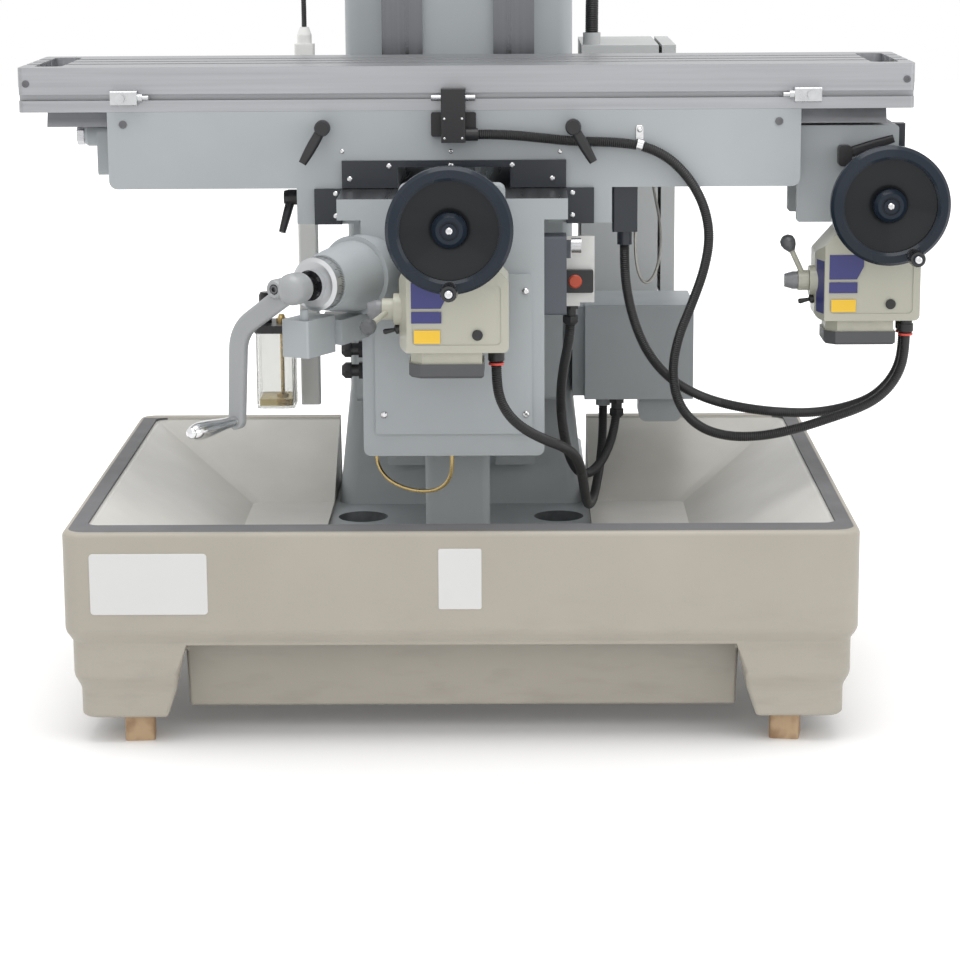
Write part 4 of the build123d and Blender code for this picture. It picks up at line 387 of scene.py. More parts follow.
def rounded_plate(centre, across, up, width, height, radius, thick, ease=0.0005, corner=6):
    """A flat plate with rounded corners: rings of a rounded rectangle, drawn in by ease at the front edge,
    and closed to the middle at the back and front. It stands on centre, along across and up, and its front
    faces across x up."""
    across, up = np.array(across, float), np.array(up, float)
    out = np.cross(across, up)
    turn = np.concatenate([np.linspace(q * pi / 2, (q + 1) * pi / 2, corner) for q in range(4)])
    side = np.repeat([[1, 1], [-1, 1], [-1, -1], [1, -1]], corner, axis=0)
    rings = []
    for inset, size, rise in ((0, 0, 0), (0, 1, 0), (0, 1, thick - ease), (ease, 1, thick), (0, 0, thick)):
        x = side[:, 0] * (width / 2 - radius) + (radius - inset) * np.cos(turn)
        y = side[:, 1] * (height / 2 - radius) + (radius - inset) * np.sin(turn)
        rings.append(np.array(centre) + size * (x[:, None] * across + y[:, None] * up) + rise * out)
    return np.stack(rings), grid_faces(len(rings), 4 * corner)


RIGHT, BACK, UP = np.eye(3)
plate_white = paint("plate_white", (0.60, 0.60, 0.595), 0.32, coat=0.2, cloud=0.015, peel=0.05)
tray_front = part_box("swarf_tray")[0].y
add_piece("tray_plates", [
    rounded_plate((-0.480, tray_front, 0.2705), RIGHT, UP, 0.186, 0.099, 0.006, 0.0012),
    rounded_plate((0.0115, tray_front, 0.2775), RIGHT, UP, 0.068, 0.098, 0.003, 0.0010)],
    plate_white, "frame")

pine, tree, shader, place = start_finish("pine_offcut", 0.75)
rings = put(tree, "ShaderNodeTexWave", {"Vector": place, "Scale": 28.0, "Distortion": 5.0, "Detail": 3.0},
            bands_direction="Y").outputs["Fac"]
wear(tree, shader, {"Base Color": blend_colours(tree, rings, (0.29, 0.18, 0.10, 1), (0.46, 0.325, 0.20, 1))})
ripple(tree, shader, rings, 0.0008, 0.4)
OFFCUT_WIDE, OFFCUT_LONG, OFFCUT_HIGH = 0.048, 0.056, 0.045
offcuts = [rounded_plate((x, y, 0), (cos(turn), sin(turn), 0), (-sin(turn), cos(turn), 0),
                         OFFCUT_WIDE, OFFCUT_LONG, 0.006, OFFCUT_HIGH, ease=0.003)
           for x, y, turn in ((-0.509, -0.729, 0.10), (0.533, -0.729, -0.16),
                              (-0.509, 0.129, 0.05), (0.533, 0.129, 0.2))]
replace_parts(add_piece("pine_offcuts", offcuts, pine, "frame"), "packing_blocks")


# Electrical cabinet: folded sheet steel in a paler grey, screwed to the column's side on two feet, with a
# lift-off door on a pin hinge at its back. The junction box below it is a plain welded box on a flat packer.
cabinet_paint = paint("cabinet_paint", (0.46, 0.47, 0.47), 0.45, cloud=0.03)
dress(cabinet_paint, "electrical_cabinet", "cabinet_door")
box_paint = paint("box_paint", (0.345, 0.37, 0.385), 0.42, cloud=0.04)
dress(box_paint, "junction_box")
packer_at, packer_wide, packer_high, packer_thick = (0.2045, 0.045, 0.5115), 0.150, 0.167, 0.0225
add_piece("junction_packer", [
    rounded_plate(packer_at, BACK, UP, packer_wide, packer_high, 0.004, packer_thick)],
    box_paint, "frame")


# Position scale on the column's left: an aluminium extrusion sprayed a warm grey, with a slit down its face,
# held off the column by two lugs. Its colour is painted paler than its own tone, as painted light that lifts
# the shade the saddle casts on it.
dress(paint("scale_paint_lit", (0.72, 0.72, 0.70), 0.42, cloud=0.03, peel=0.15), "z_scale")


# Oil lubricator: a clear moulded tank part-filled with straw-coloured way oil, under a black pump head with
# a knob that is pulled up to prime it. A brass pick-up pipe with a strainer stands in the oil.
def clear(name, colour, rough, through, bend, ripples):
    """A clear stuff: through is the share of light that passes, bend its refractive index, and ripples the
    scale, depth and strength of its uneven surface."""
    material, tree, shader, place = start_finish(name, rough)
    shader.inputs["Base Color"].default_value = (*colour, 1)
    shader.inputs["Transmission Weight"].default_value = through
    shader.inputs["IOR"].default_value = bend
    scale, deep, strength = ripples
    ripple(tree, shader, speckle(tree, place, scale), deep, strength)
    return material


def axes_from(axis):
    """The unit vector along axis, and two more at right angles to it and to each other."""
    axis = np.array(axis, float) / np.linalg.norm(axis)
    helper = UP if abs(axis[2]) < 0.9 else RIGHT
    u = np.cross(helper, axis)
    u /= np.linalg.norm(u)
    return axis, u, np.cross(axis, u)


def turned(profile, axis, at, sides=28, hexed=()):
    """A turned shape: at + height * axis + radius * (cos t * u + sin t * w) for each (radius, height) of the
    profile, t going once round. In the rows named in hexed the radius is divided by
    cos(t mod 60 - 30 degrees), a hexagon."""
    axis, u, w = axes_from(axis)
    t = np.linspace(0, 2 * pi, sides, endpoint=False)
    radius, height = np.array(profile, float).T
    radius = np.repeat(radius[:, None], sides, axis=1)
    rows = list(hexed)
    radius[rows] = radius[rows] / np.cos(np.mod(t, pi / 3) - pi / 6)
    ring = np.cos(t)[:, None] * u + np.sin(t)[:, None] * w
    points = np.array(at, float) + height[:, None, None] * axis + radius[:, :, None] * ring
    return points, grid_faces(len(profile), sides)


clear_tank = clear("clear_tank", (0.80, 0.80, 0.785), 0.08, 0.90, 1.12, (40.0, 0.0005, 0.15))
dress(clear_tank, "lubricator_tank")
moulded_black = paint("moulded_black", (0.016, 0.016, 0.018), 0.38, cloud=0.2, peel=0.5)
dress(moulded_black, "lubricator_pump", "lubricator_plunger")

way_oil = clear("way_oil", (0.80, 0.66, 0.30), 0.05, 0.8, 1.2, (60.0, 0.0003, 0.1))
tank_low, tank_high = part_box("lubricator_tank")
tank_middle = (tank_low + tank_high) / 2
tank_wall, oil_depth = 0.0048, 0.012
tank_floor = tank_low.z + tank_wall
add_piece("tank_oil", [rounded_plate((tank_middle.x, tank_middle.y, tank_floor), RIGHT, BACK,
                                     tank_high.x - tank_low.x - 2 * tank_wall,
                                     tank_high.y - tank_low.y - 2 * tank_wall, 0.008, oil_depth)],
          way_oil, "frame")
pipe_brass = metal("pipe_brass", (0.62, 0.46, 0.20), 0.28)
pipe_x, pipe_y = tank_middle.x + 0.010, tank_middle.y
pump_top = tank_high.z + 0.014
strainer = [(0, 0), (0.011, 0), (0.011, 0.014), (0.0035, 0.018), (0.0035, 0.131), (0, 0.131)]
union = [(0, 0), (0.009, 0), (0.009, 0.008), (0.006, 0.008), (0.006, 0.012), (0.004, 0.015), (0, 0.015)]
add_piece("tank_pickup", [turned(strainer, UP, (pipe_x, pipe_y, tank_floor + 0.001)),
                          turned(union, UP, (pipe_x, pipe_y, pump_top), hexed=(1, 2))],
          pipe_brass, "frame")


# Knee: the box casting that climbs the column, painted, with ground ways along its top. Its front is closed
# by a cover plate on four button-head screws, and two cable glands are screwed into its left side.
def dome_screw(at, axis, radius, height):
    """A button-head screw: its side is an arc of an ellipse, radius * cos a out and height * sin a up in
    units of the sine at the arc's end, and its flat top holds a hexagon socket."""
    end, socket = radians(62), radius * 0.40
    rim = [(radius * cos(a), height * sin(a) / sin(end)) for a in np.linspace(0, end, 6)]
    profile = [(0, 0), *rim, (socket, height), (socket, height * 0.4), (0, height * 0.4)]
    return turned(profile, axis, at, sides=24, hexed=(len(rim) + 1, len(rim) + 2))


def screw_gland(at, axis):
    """A cable gland: a hexagon base, a round neck, and a hexagon nut that tapers at its end."""
    profile = [(0, 0), (0.013, 0), (0.013, 0.008), (0.010, 0.008), (0.010, 0.020), (0.0125, 0.020),
               (0.0125, 0.030), (0.008, 0.036), (0, 0.036)]
    return turned(profile, axis, at, hexed=(1, 2, 5, 6))


knee_top = 0.8556
knee_ways = [{"Z": (knee_top - 0.0005, knee_top + 0.001), "Y": (-0.7, 0.1)}]
dress(paint_and_ground("knee_paint", MACHINE_GREY, SATIN_ROUGH, GROUND_STEEL, ALONG_Y, knee_ways), "knee")
dress(machine_paint, "knee_cover", "y_bearing_bracket")
chrome_screw = metal("chrome_screw", (0.72, 0.72, 0.73), 0.16, contrast=0.05)
FRONT, LEFT, DOWN = (0, -1, 0), (-1, 0, 0), (0, 0, -1)
cover_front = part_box("knee_cover")[0].y
add_piece("cover_screws", [dome_screw((x, cover_front, z), FRONT, 0.0060, 0.0042)
                           for x, z in ((-0.111, 0.707), (0.117, 0.707), (-0.113, 0.506), (0.117, 0.506))],
          chrome_screw, "knee")
add_piece("knee_glands", [screw_gland((-0.147, -0.572, z), LEFT) for z in (0.572, 0.607)],
          moulded_black, "knee")


# Knee crank: a shaft in the conical boss with a satin dial engraved in black, a grey cast arm clamped by a
# socket screw, and a chromed pear-shaped handle that spins. The arm is cast with a round knob and smooth
# bends, and the clutch teeth behind it are blacked.
def beyond(tree, place, axis, start):
    """One past the point start along axis, and zero before it."""
    along = put(tree, "ShaderNodeVectorMath", {0: place, 1: tuple(axis)}, operation="DOT_PRODUCT")
    return work_out(tree, "GREATER_THAN", along.outputs["Value"], float(np.dot(start, axis)))


def patched(name, colour, rough, patches, coat=0.0, bare=0.0, gleam=0.5, **more):
    """A finish with patches of others over it. Each patch is a mask, as (function, its values), a colour, a
    roughness and how metallic it is."""
    material, tree, shader, place = start_finish(name, rough, metal=bare, coat=coat, gleam=gleam)
    hue, gloss = paint_nodes(tree, shader, place, colour, rough, **more)
    shine = bare
    for (where, values), tint, smooth, steel in patches:
        mask = where(tree, place, *values)
        cloud = spread(tree, speckle(tree, place, 30.0), 0, 1)
        hue = blend_colours(tree, mask, hue, blend_colours(tree, cloud, shade(tint, 0.94), shade(tint, 1.06)))
        gloss = blend_values(tree, mask, gloss, smooth)
        shine = blend_values(tree, mask, shine, steel)
    wear(tree, shader, {"Base Color": hue, "Roughness": gloss, "Metallic": shine})
    return material


crank_axis = np.array([-0.5, -0.8660254, 0.0])
crank_side = np.array([-0.8660254, 0.5, 0.0])
crank_root = np.array([-0.140, -0.596, 0.735])
DIAL_OUT, TEETH_OUT, HUB_OUT = 0.127, 0.1625, 0.208             # along the axis from the root
SATIN, TOOTH_BLACK = (0.56, 0.57, 0.58), (0.02, 0.02, 0.022)
teeth = crank_root + crank_axis * TEETH_OUT
dress(patched("crank_satin", SATIN, 0.34, [((beyond, (crank_axis, teeth)), TOOTH_BLACK, 0.4, 0.3)],
              bare=0.9, peel=0.05), "crank_dial")
arm_paint = paint("arm_paint", (0.290, 0.300, 0.305), 0.33, coat=0.2, cloud=0.05, peel=0.4)
polished_chrome = metal("polished_chrome", (0.78, 0.78, 0.79), 0.10, contrast=0.04)
crank_hub = crank_root + crank_axis * HUB_OUT


def cast_arm(hub, bend, end, wide, half, ease=0.032, around=32):
    """A cranked flat arm: its middle line runs straight from the hub, turns as a parabola over the distance
    ease before and after the bend, and runs straight to the end. Its section is a superellipse of the fourth
    power, wide across and half thick, which closes over the far end as a half circle."""
    line = [np.array(point) for point in (hub, bend, end)]
    before = line[1] + ease * (line[0] - line[1]) / np.linalg.norm(line[0] - line[1])
    after = line[1] + ease * (line[2] - line[1]) / np.linalg.norm(line[2] - line[1])
    t = np.linspace(0, 1, 14)[:, None]
    middle = np.concatenate([line[0] + t[:-1] * (before - line[0]),
                             (1 - t) ** 2 * before + 2 * t * (1 - t) * line[1] + t ** 2 * after,
                             after + t[1:] * (line[2] - after)])
    run = np.gradient(middle, axis=0)
    run /= np.linalg.norm(run, axis=1)[:, None]
    along = np.concatenate([[0], np.cumsum(np.linalg.norm(np.diff(middle, axis=0), axis=1))])
    spans = wide[0] + (wide[1] - wide[0]) * along / along[-1]
    cap = np.linspace(0, pi / 2, 9)[1:]
    middle = np.concatenate([middle[:1], middle, middle[-1] + spans[-1] * np.sin(cap)[:, None] * run[-1]])
    run = np.concatenate([run[:1], run, np.repeat(run[-1:], len(cap), axis=0)])
    spans = np.concatenate([[0], spans, spans[-1] * np.cos(cap)])
    thick = np.where(spans > 1e-6, half, 0)
    side = np.cross(crank_axis, run)
    t = np.linspace(0, 2 * pi, around, endpoint=False)
    x = np.sign(np.cos(t)) * np.abs(np.cos(t)) ** 0.5
    y = np.sign(np.sin(t)) * np.abs(np.sin(t)) ** 0.5
    rings = (middle[:, None] + (spans[:, None] * x)[:, :, None] * side[:, None]
             + (thick[:, None] * y)[:, :, None] * crank_axis)
    return rings, grid_faces(len(rings), around)


arm_bend = crank_hub + crank_side * 0.105 - UP * 0.072
arm_end = crank_hub + crank_side * 0.112 - UP * 0.217
swell = np.linspace(0, pi / 2, 9)
knob = [(0, 0), *[(0.019 + 0.006 * sin(a), 0.015 * (1 - cos(a))) for a in swell],
        *[(0.025 * cos(a), 0.028 + 0.021 * sin(a)) for a in swell[:-1]], (0, 0.049)]
lug = [(0, -0.009), (0.013, -0.009), (0.0155, -0.006), (0.0155, 0.014), (0.0125, 0.0185), (0.0095, 0.019),
       (0.008, 0.0175), (0.008, 0.0115), (0, 0.0115)]
arm_half, grip_long, lug_side = 0.009, 0.112, 0.024
pin = [(0, -grip_long), (0.006, -grip_long), (0.006, 0.001),
       *[(0.009 * cos(a), 0.001 + 0.006 * sin(a)) for a in swell[:-1]], (0, 0.007)]
arm_pin = turned(pin, crank_axis, arm_end + crank_axis * (arm_half + grip_long))
crank_casting = add_piece("crank_casting", [
    cast_arm(crank_hub, arm_bend, arm_end, (0.0165, 0.014), arm_half),
    turned(knob, crank_axis, crank_hub - crank_axis * 0.026, sides=48),
    turned(lug, crank_axis, crank_hub + crank_side * lug_side, sides=36)], arm_paint, "crank")
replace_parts(crank_casting, "crank_arm")
add_piece("crank_pin", [arm_pin], polished_chrome, "crank")

along = np.linspace(0, 1, 40)
rise = 0.5 - 0.5 * np.cos(pi * np.clip((along - 0.10) / 0.65, 0, 1))
close = np.sqrt(1 - 0.56 * np.clip((along - 0.80) / 0.20, 0, 1) ** 2)
pear = np.c_[(0.0090 + 0.0050 * rise) * close, 0.0003 + grip_long * along]
pear = [(0, pear[0, 1]), *pear, (0, pear[-1, 1])]
crank_grip = add_piece("crank_grip", [turned(pear, crank_axis, arm_end + crank_axis * arm_half, sides=40)],
                       polished_chrome, "crank_handle")
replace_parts(crank_grip, "crank_handle")


def dial_lines(at, axis, radius, lengths, count, wide=0.0004, proud=0.0001):
    """Engraved lines round a dial: thin four-sided bars along axis, spread evenly round it, whose lengths
    repeat in turn. Each bar's section is a small rectangle across the radius."""
    axis, u, w = axes_from(axis)
    t = np.linspace(0, 2 * pi, count, endpoint=False)
    out = np.cos(t)[:, None] * u + np.sin(t)[:, None] * w
    side = np.cos(t)[:, None] * w - np.sin(t)[:, None] * u
    long = np.resize(lengths, count)
    corner = np.array([[-1, -1], [1, -1], [1, 1], [-1, 1]])
    section = ((radius + proud * corner[None, :, 1:2]) * out[:, None]
               + wide * corner[None, :, 0:1] * side[:, None])
    near_end = np.array(at, float) + section
    far_end = near_end + (long[:, None] * axis)[:, None]
    points = np.concatenate([near_end, far_end], axis=1)
    quads = np.array([[0, 3, 2, 1], [4, 5, 6, 7], [0, 1, 5, 4], [1, 2, 6, 5], [2, 3, 7, 6], [3, 0, 4, 7]])
    faces = (np.arange(count)[:, None, None] * 8 + quads).reshape(-1, 4)
    return points, faces


def cap_screw(at, axis, radius, height):
    """A socket-head screw: a low drum with an eased rim and a hexagon socket."""
    socket = radius * 0.5
    profile = [(0, 0), (radius, 0), (radius, height * 0.85), (radius * 0.9, height), (socket * 1.25, height),
               (socket, height), (socket, height * 0.35), (0, height * 0.35)]
    return turned(profile, axis, at, sides=24, hexed=(5, 6))


engraved_black = paint("engraved_black", (0.02, 0.02, 0.02), 0.6)
FIFTHS = (0.014, 0.007, 0.007, 0.007, 0.007)
dial_at = crank_root + crank_axis * DIAL_OUT
add_piece("crank_dial_lines", [dial_lines(dial_at, crank_axis, 0.042, FIFTHS, 100)],
          engraved_black, "crank")
oiled_steel = metal("oiled_steel", (0.16, 0.16, 0.17), 0.42)
lug_screw = crank_hub + crank_axis * 0.0115 + crank_side * lug_side
add_piece("crank_clamp_screw", [cap_screw(lug_screw, crank_axis, 0.0072, 0.0065)],
          oiled_steel, "crank")


# Cross feed and longitudinal feed: ivory die-cast housings bolted up round the two screws, each with its
# motor's dark cap below, an ivory lever with a grey egg ball, a speed knob, blue and yellow plates, and a
# toggle.
IVORY = (0.425, 0.420, 0.350)
CAP_GREY, GLAND_BLACK, BALL_GREY = (0.075, 0.077, 0.082), (0.014, 0.014, 0.015), (0.085, 0.09, 0.095)
ivory_paint = paint("ivory_paint", IVORY, 0.36, coat=0.15, cloud=0.03, peel=0.3)
dress(ivory_paint, "y_feed_housing", "x_feed_housing")
knob_grey = paint("knob_grey", (0.20, 0.205, 0.215), 0.35, coat=0.2, cloud=0.06)
dress(knob_grey, "y_feed_knob", "x_feed_knob")
satin_chrome = metal("satin_chrome", SATIN, 0.30, contrast=0.06)
dress(satin_chrome, "y_screw")
label_blue = paint("label_blue", (0.030, 0.032, 0.165), 0.34, coat=0.2, cloud=0.05, peel=0.05)
label_yellow = paint("label_yellow", (0.80, 0.50, 0.035), 0.40, cloud=0.03, peel=0.05)
connector_red = paint("connector_red", (0.62, 0.06, 0.04), 0.40, cloud=0.05, peel=0.1)


def slab(outline, origin, along, out, thick):
    """A flat plate: its convex outline of (along, up) points set off from origin, carried thick along out,
    with both faces closed to the outline's middle."""
    flat = np.array(outline, float)
    edge = np.array(origin) + flat[:, :1] * np.array(along) + flat[:, 1:] * UP
    middle = np.repeat(edge.mean(axis=0)[None], len(edge), axis=0)
    lift = thick * np.array(out, float)
    return np.stack([middle, edge, edge + lift, middle + lift]), grid_faces(4, len(edge))


def oblong(left, low, right, high):
    """The outline of an upright rectangle."""
    return [(left, low), (right, low), (right, high), (left, high)]


HOUSING_DROP = 0.200        # the housing's foot below the screw's axis
PLATE_THICK, STICKER_THICK = 0.0008, 0.0006


def feed_dressing(name, body, middle, axis_z, glands):
    """The finishes and small pieces of one power feed, set off from its housing's middle, front and foot."""
    front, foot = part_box(name + "_housing")[0].y, axis_z - HOUSING_DROP
    dress(patched(name + "_motor_finish", CAP_GREY, 0.50, [
        ((inside, ({"Z": (foot - 0.019, foot + 0.01)},)), IVORY, 0.38, 0.0),
        ((inside, ({"X": (middle + 0.052, middle + 0.085)},)), GLAND_BLACK, 0.42, 0.0)],
        peel=0.4), name + "_motor")
    corner = (middle - 0.066, front, foot)
    cut_plate = [(0, 0.070), (0.046, 0.070), (0.057, 0.091), (0.057, 0.111), (0, 0.111)]
    add_piece(name + "_blue_plates", [slab(outline, corner, RIGHT, FRONT, PLATE_THICK)
                                      for outline in (cut_plate, oblong(0, 0.047, 0.047, 0.065))],
              label_blue, body)
    add_piece(name + "_yellow_plate", [
        slab(oblong(0.004, 0.015, 0.045, 0.036), corner, RIGHT, FRONT, STICKER_THICK)],
        label_yellow, body)
    plug = [(0, 0), (0.0085, 0), (0.0085, 0.0012), (0.007, 0.002), (0, 0.002)]
    toggle = [(0, 0), (0.0075, 0), (0.0075, 0.007), (0.003, 0.009), (0.0045, 0.024), (0.003, 0.027),
              (0, 0.027)]
    add_piece(name + "_plug", [
        turned(plug, FRONT, (middle + 0.037, front, foot + 0.028)),
        turned(toggle, (-1, 0, -0.2), (middle - 0.0855, front + 0.052, foot + 0.031))],
        moulded_black, body)
    ring = [(0.0088, 0), (0.0122, 0), (0.0122, 0.0035), (0.0088, 0.0035), (0.0088, 0)]
    add_piece(name + "_gland_rings", [turned(ring, DOWN, gland) for gland in glands],
              connector_red, body)


CROSS_X, CROSS_Z, LONG_X, LONG_Z = 0.0, 0.8316, 0.714, 0.828
feed_dressing("y_feed", "knee", 0.004, CROSS_Z, [(0.070, -0.710, 0.6076)])
feed_dressing("x_feed", "saddle", 0.690, LONG_Z, [(0.756, -0.413, 0.604), (0.756, -0.381, 0.604)])
chamfer = np.array((0.013, -0.045, 0.0)) / np.hypot(0.013, 0.045)
add_piece("x_feed_side_plate", [slab(oblong(0.003, 0.012, 0.044, 0.100), (0.604, -0.3905, 0.628), chamfer,
                                     (chamfer[1], -chamfer[0], 0), PLATE_THICK)],
          label_blue, "saddle")
BALL_OUT = 0.058
for name, pivot, away in (("y_feed_lever", (-0.0965, -0.712, 0.6936), (-0.4226, -0.9063, 0.0)),
                          ("x_feed_lever", (0.5895, -0.3835, 0.690), (-0.4226, 0.0, 0.9063))):
    ball = np.array(pivot) + BALL_OUT * np.array(away)
    egg = ((beyond, (away, ball)), BALL_GREY, 0.35, 0.0)
    dress(patched(name + "_finish", IVORY, 0.36, [egg], coat=0.15), name)


# Handwheels: dished wheels with a navy rim and boss and a darker dish, bolted on the two screws through the
# boss. Each has an engraved satin dial behind it and a glossy black handle that spins on its rim.
def near(tree, place, centre, keep, radius):
    """One within radius of centre, measured over the axes whose keep is one, and zero elsewhere."""
    flat = put(tree, "ShaderNodeVectorMath", {0: place, 1: keep}, operation="MULTIPLY").outputs["Vector"]
    middle = tuple(c * k for c, k in zip(centre, keep))
    away = put(tree, "ShaderNodeVectorMath", {0: flat, 1: middle}, operation="DISTANCE").outputs["Value"]
    return work_out(tree, "LESS_THAN", away, radius)


NAVY, DISH = (0.0100, 0.0165, 0.0270), (0.0088, 0.0105, 0.0120)
DISH_R, BOSS_R, DIAL_R = 0.0765, 0.0275, 0.046
RIM_SCREW_R, BOSS_FRONT, DIAL_BACK = 0.087, 0.040, 0.027        # the last two from the wheel's back
ACROSS_Y = (1, 0, 1)
# Node, body, place on the screw's axis, back of the wheel, and turn of its handle from straight down.
WHEELS = (("y", "cross", CROSS_X, CROSS_Z, -0.7985, 0.0), ("x", "long", LONG_X, LONG_Z, -0.470, radians(25)))
for name, body, x, z, back, turn in WHEELS:
    dress(patched(name + "_wheel_finish", NAVY, 0.28, [
        ((near, ((x, 0.0, z), ACROSS_Y, DISH_R)), DISH, 0.32, 0.0),
        ((near, ((x, 0.0, z), ACROSS_Y, BOSS_R)), NAVY, 0.28, 0.0),
        ((beyond, (BACK, (0, back + 0.0005, 0))), SATIN, 0.30, 0.9)],
        coat=0.12, gleam=0.22, cloud=0.1, peel=0.08), name + "_handwheel")
grip_black = paint("grip_black", (0.012, 0.013, 0.015), 0.22, coat=0.4, cloud=0.12, peel=0.06)
dress(grip_black, "y_wheel_handle", "x_wheel_handle")
for name, body, x, z, back, turn in WHEELS:
    rim = (x + RIM_SCREW_R * sin(turn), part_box(name + "_handwheel")[0].y, z - RIM_SCREW_R * cos(turn))
    add_piece(body + "_wheel_screws", [dome_screw((x, back - BOSS_FRONT, z), FRONT, 0.0062, 0.0035),
                                       dome_screw(rim, FRONT, 0.0062, 0.0025)],
              chrome_screw, body + "_wheel")
for name, body, x, z, back, turn in WHEELS:
    add_piece(body + "_dial_lines", [dial_lines((x, back + DIAL_BACK, z), FRONT, DIAL_R, FIFTHS, 100)],
              engraved_black, body + "_wheel")


# Saddle: a long painted casting with ground dovetail ways, black wiper plates screwed across its front, and
# clamp levers of moulded plastic on steel studs. A steel clip on its front holds the limit switch's hose.
saddle_top, saddle_front, wiper_front = 0.9828, -0.450, -0.458
dovetail = [{"Z": (saddle_top - 0.028, saddle_top + 0.001), "Y": (saddle_front + 0.001, -0.146)}]
dress(paint_and_ground("saddle_paint", MACHINE_GREY, SATIN_ROUGH, GROUND_STEEL, ALONG_X, dovetail), "saddle")
wiper_black = paint("wiper_black", (0.011, 0.015, 0.022), 0.32, coat=0.2, cloud=0.15, peel=0.3)
dress(wiper_black, "saddle_fittings")
dress(moulded_black, "table_lock_lever_left", "table_lock_lever_right", "saddle_lock_lever", "x_clutch_lever",
      "limit_switch")
dress(machine_paint, "x_bearing_housing", "x_gearbox")
dress(bright_screw, "x_screw", "limit_plunger")
wiper_screws = ((-0.107, 0.893), (-0.005, 0.894), (0.096, 0.894), (-0.172, 0.872), (0.162, 0.872),
                (-0.1955, 0.848), (-0.1955, 0.811), (0.1955, 0.848), (0.1955, 0.811))
face_screws = ((-0.184, 0.917), (-0.005, 0.916), (0.175, 0.915))
switch_screws = [(x, z) for x in (-0.0145, 0.0145) for z in (0.940, 0.972)]
add_piece("saddle_screws", [
    dome_screw((x, front, z), FRONT, radius, height)
    for screws, front, radius, height in ((wiper_screws, wiper_front, 0.0048, 0.003),
                                          (face_screws, saddle_front, 0.0042, 0.0028),
                                          (switch_screws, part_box("limit_switch")[0].y, 0.0022, 0.0014))
    for x, z in screws], chrome_screw, "saddle")
add_piece("saddle_plugs", [cap_screw((x, saddle_front, 0.9625), FRONT, 0.0065, 0.002)
                           for x in (-0.545, 0.535)], oiled_steel, "saddle")
clip_x, clip_thick, clip_along = 0.306, 0.003, (0.965, -0.035, -0.260)
clip_band = [(0.0086, -0.005), (0.0102, -0.005), (0.0102, 0.005), (0.0086, 0.005), (0.0086, -0.005)]
add_piece("hose_clip", [
    turned(clip_band, clip_along, (clip_x, -0.4628, 0.9262)),
    rounded_plate((clip_x, saddle_front, 0.9445), RIGHT, UP, 0.013, 0.025, 0.004, clip_thick),
    dome_screw((clip_x, saddle_front - clip_thick, 0.950), FRONT, 0.0045, 0.003)],
    chrome_screw, "saddle")


# Knee limit switch: a slate-grey moulded switch with a steel roller, a bare zinc-plated bracket and a red
# button on a black contact block, all screwed to the knee's right side.
SLATE, ZINC, RED, STEEL = (0.072, 0.082, 0.098), (0.60, 0.60, 0.58), (0.50, 0.075, 0.035), (0.50, 0.50, 0.51)
bracket = {"X": (0.170, 0.232), "Y": (-0.4906, -0.4835)}
roller = {"X": (0.190, 0.210), "Y": (-0.600, -0.550)}
button = {"X": (0.185, 0.213), "Y": (-0.505, -0.4912), "Z": (0.690, 0.722)}
dress(patched("z_switch_finish", SLATE, 0.45, [
    ((inside, (bracket,)), ZINC, 0.45, 0.3),
    ((inside, (roller,)), STEEL, 0.25, 1.0),
    ((inside, (button,)), RED, 0.35, 0.0)]), "z_limit_switch")
add_piece("stop_contact_block", [
    rounded_plate((0.205, -0.490, 0.7056), RIGHT, UP, 0.048, 0.038, 0.003, 0.009)],
    moulded_black, "knee")


# Table: a close-grained iron casting, planed and ground all over, with its T-slots and end troughs machined
# in. Two satin stop dogs slide in a groove along its front, which has a socket plug near each end.
table_ground = metal("table_ground", (0.40, 0.405, 0.42), 0.42, grain=(0.02, 1, 1), scale=120.0,
                     contrast=0.10)
dress(table_ground, "table")
dress(satin_chrome, "stop_dog_left", "stop_dog_right")
add_piece("table_end_plugs", [cap_screw((x, -0.450, 1.030), FRONT, 0.006, 0.002) for x in (-0.703, 0.743)],
          oiled_steel, "table")


# Turret, ram and head: painted castings on the column's top, with a finned motor in a darker grey bolted on
# the head. The quill and the spindle are ground bright, and the quill's lever is chromed.
dress(machine_paint, "turret", "ram", "head")
dress(paint("motor_paint", (0.10, 0.115, 0.13), 0.45, cloud=0.06, peel=0.5), "head_motor")
dress(bright_screw, "quill", "spindle")
dress(polished_chrome, "quill_lever")


# Conduits: corrugated black plastic hose over the wiring, held in screwed glands and hanging in free loops,
# one thin steel-armoured cable under the saddle, and one bare brass oil tube under the knee.
def route_line(name, points, radius, fine=24):
    """The smooth line of a route: a NURBS curve of order three with the route's points as its controls."""
    curve = bpy.data.curves.new(name, "CURVE")
    curve.dimensions = "3D"
    curve.resolution_u = fine
    spline = curve.splines.new("NURBS")
    spline.points.add(len(points) - 1)
    spline.points.foreach_set("co", np.c_[np.array(points, float), np.ones(len(points))].ravel())
    spline.order_u = 3
    spline.use_endpoint_u = True
    curve.bevel_depth = radius
    curve.bevel_resolution = 6
    curve.use_fill_caps = True
    return set_out(name, curve)


def read_line(points):
    """The points of a route's NURBS curve, as Blender works them out for a curve with no bevel."""
    line = route_line("route", points, 0.0)
    bpy.context.view_layer.update()
    mesh = bpy.data.meshes.new_from_object(line)
    path = np.empty(len(mesh.vertices) * 3)
    mesh.vertices.foreach_get("co", path)
    bpy.data.objects.remove(line)
    bpy.data.meshes.remove(mesh)
    return path.reshape(-1, 3)


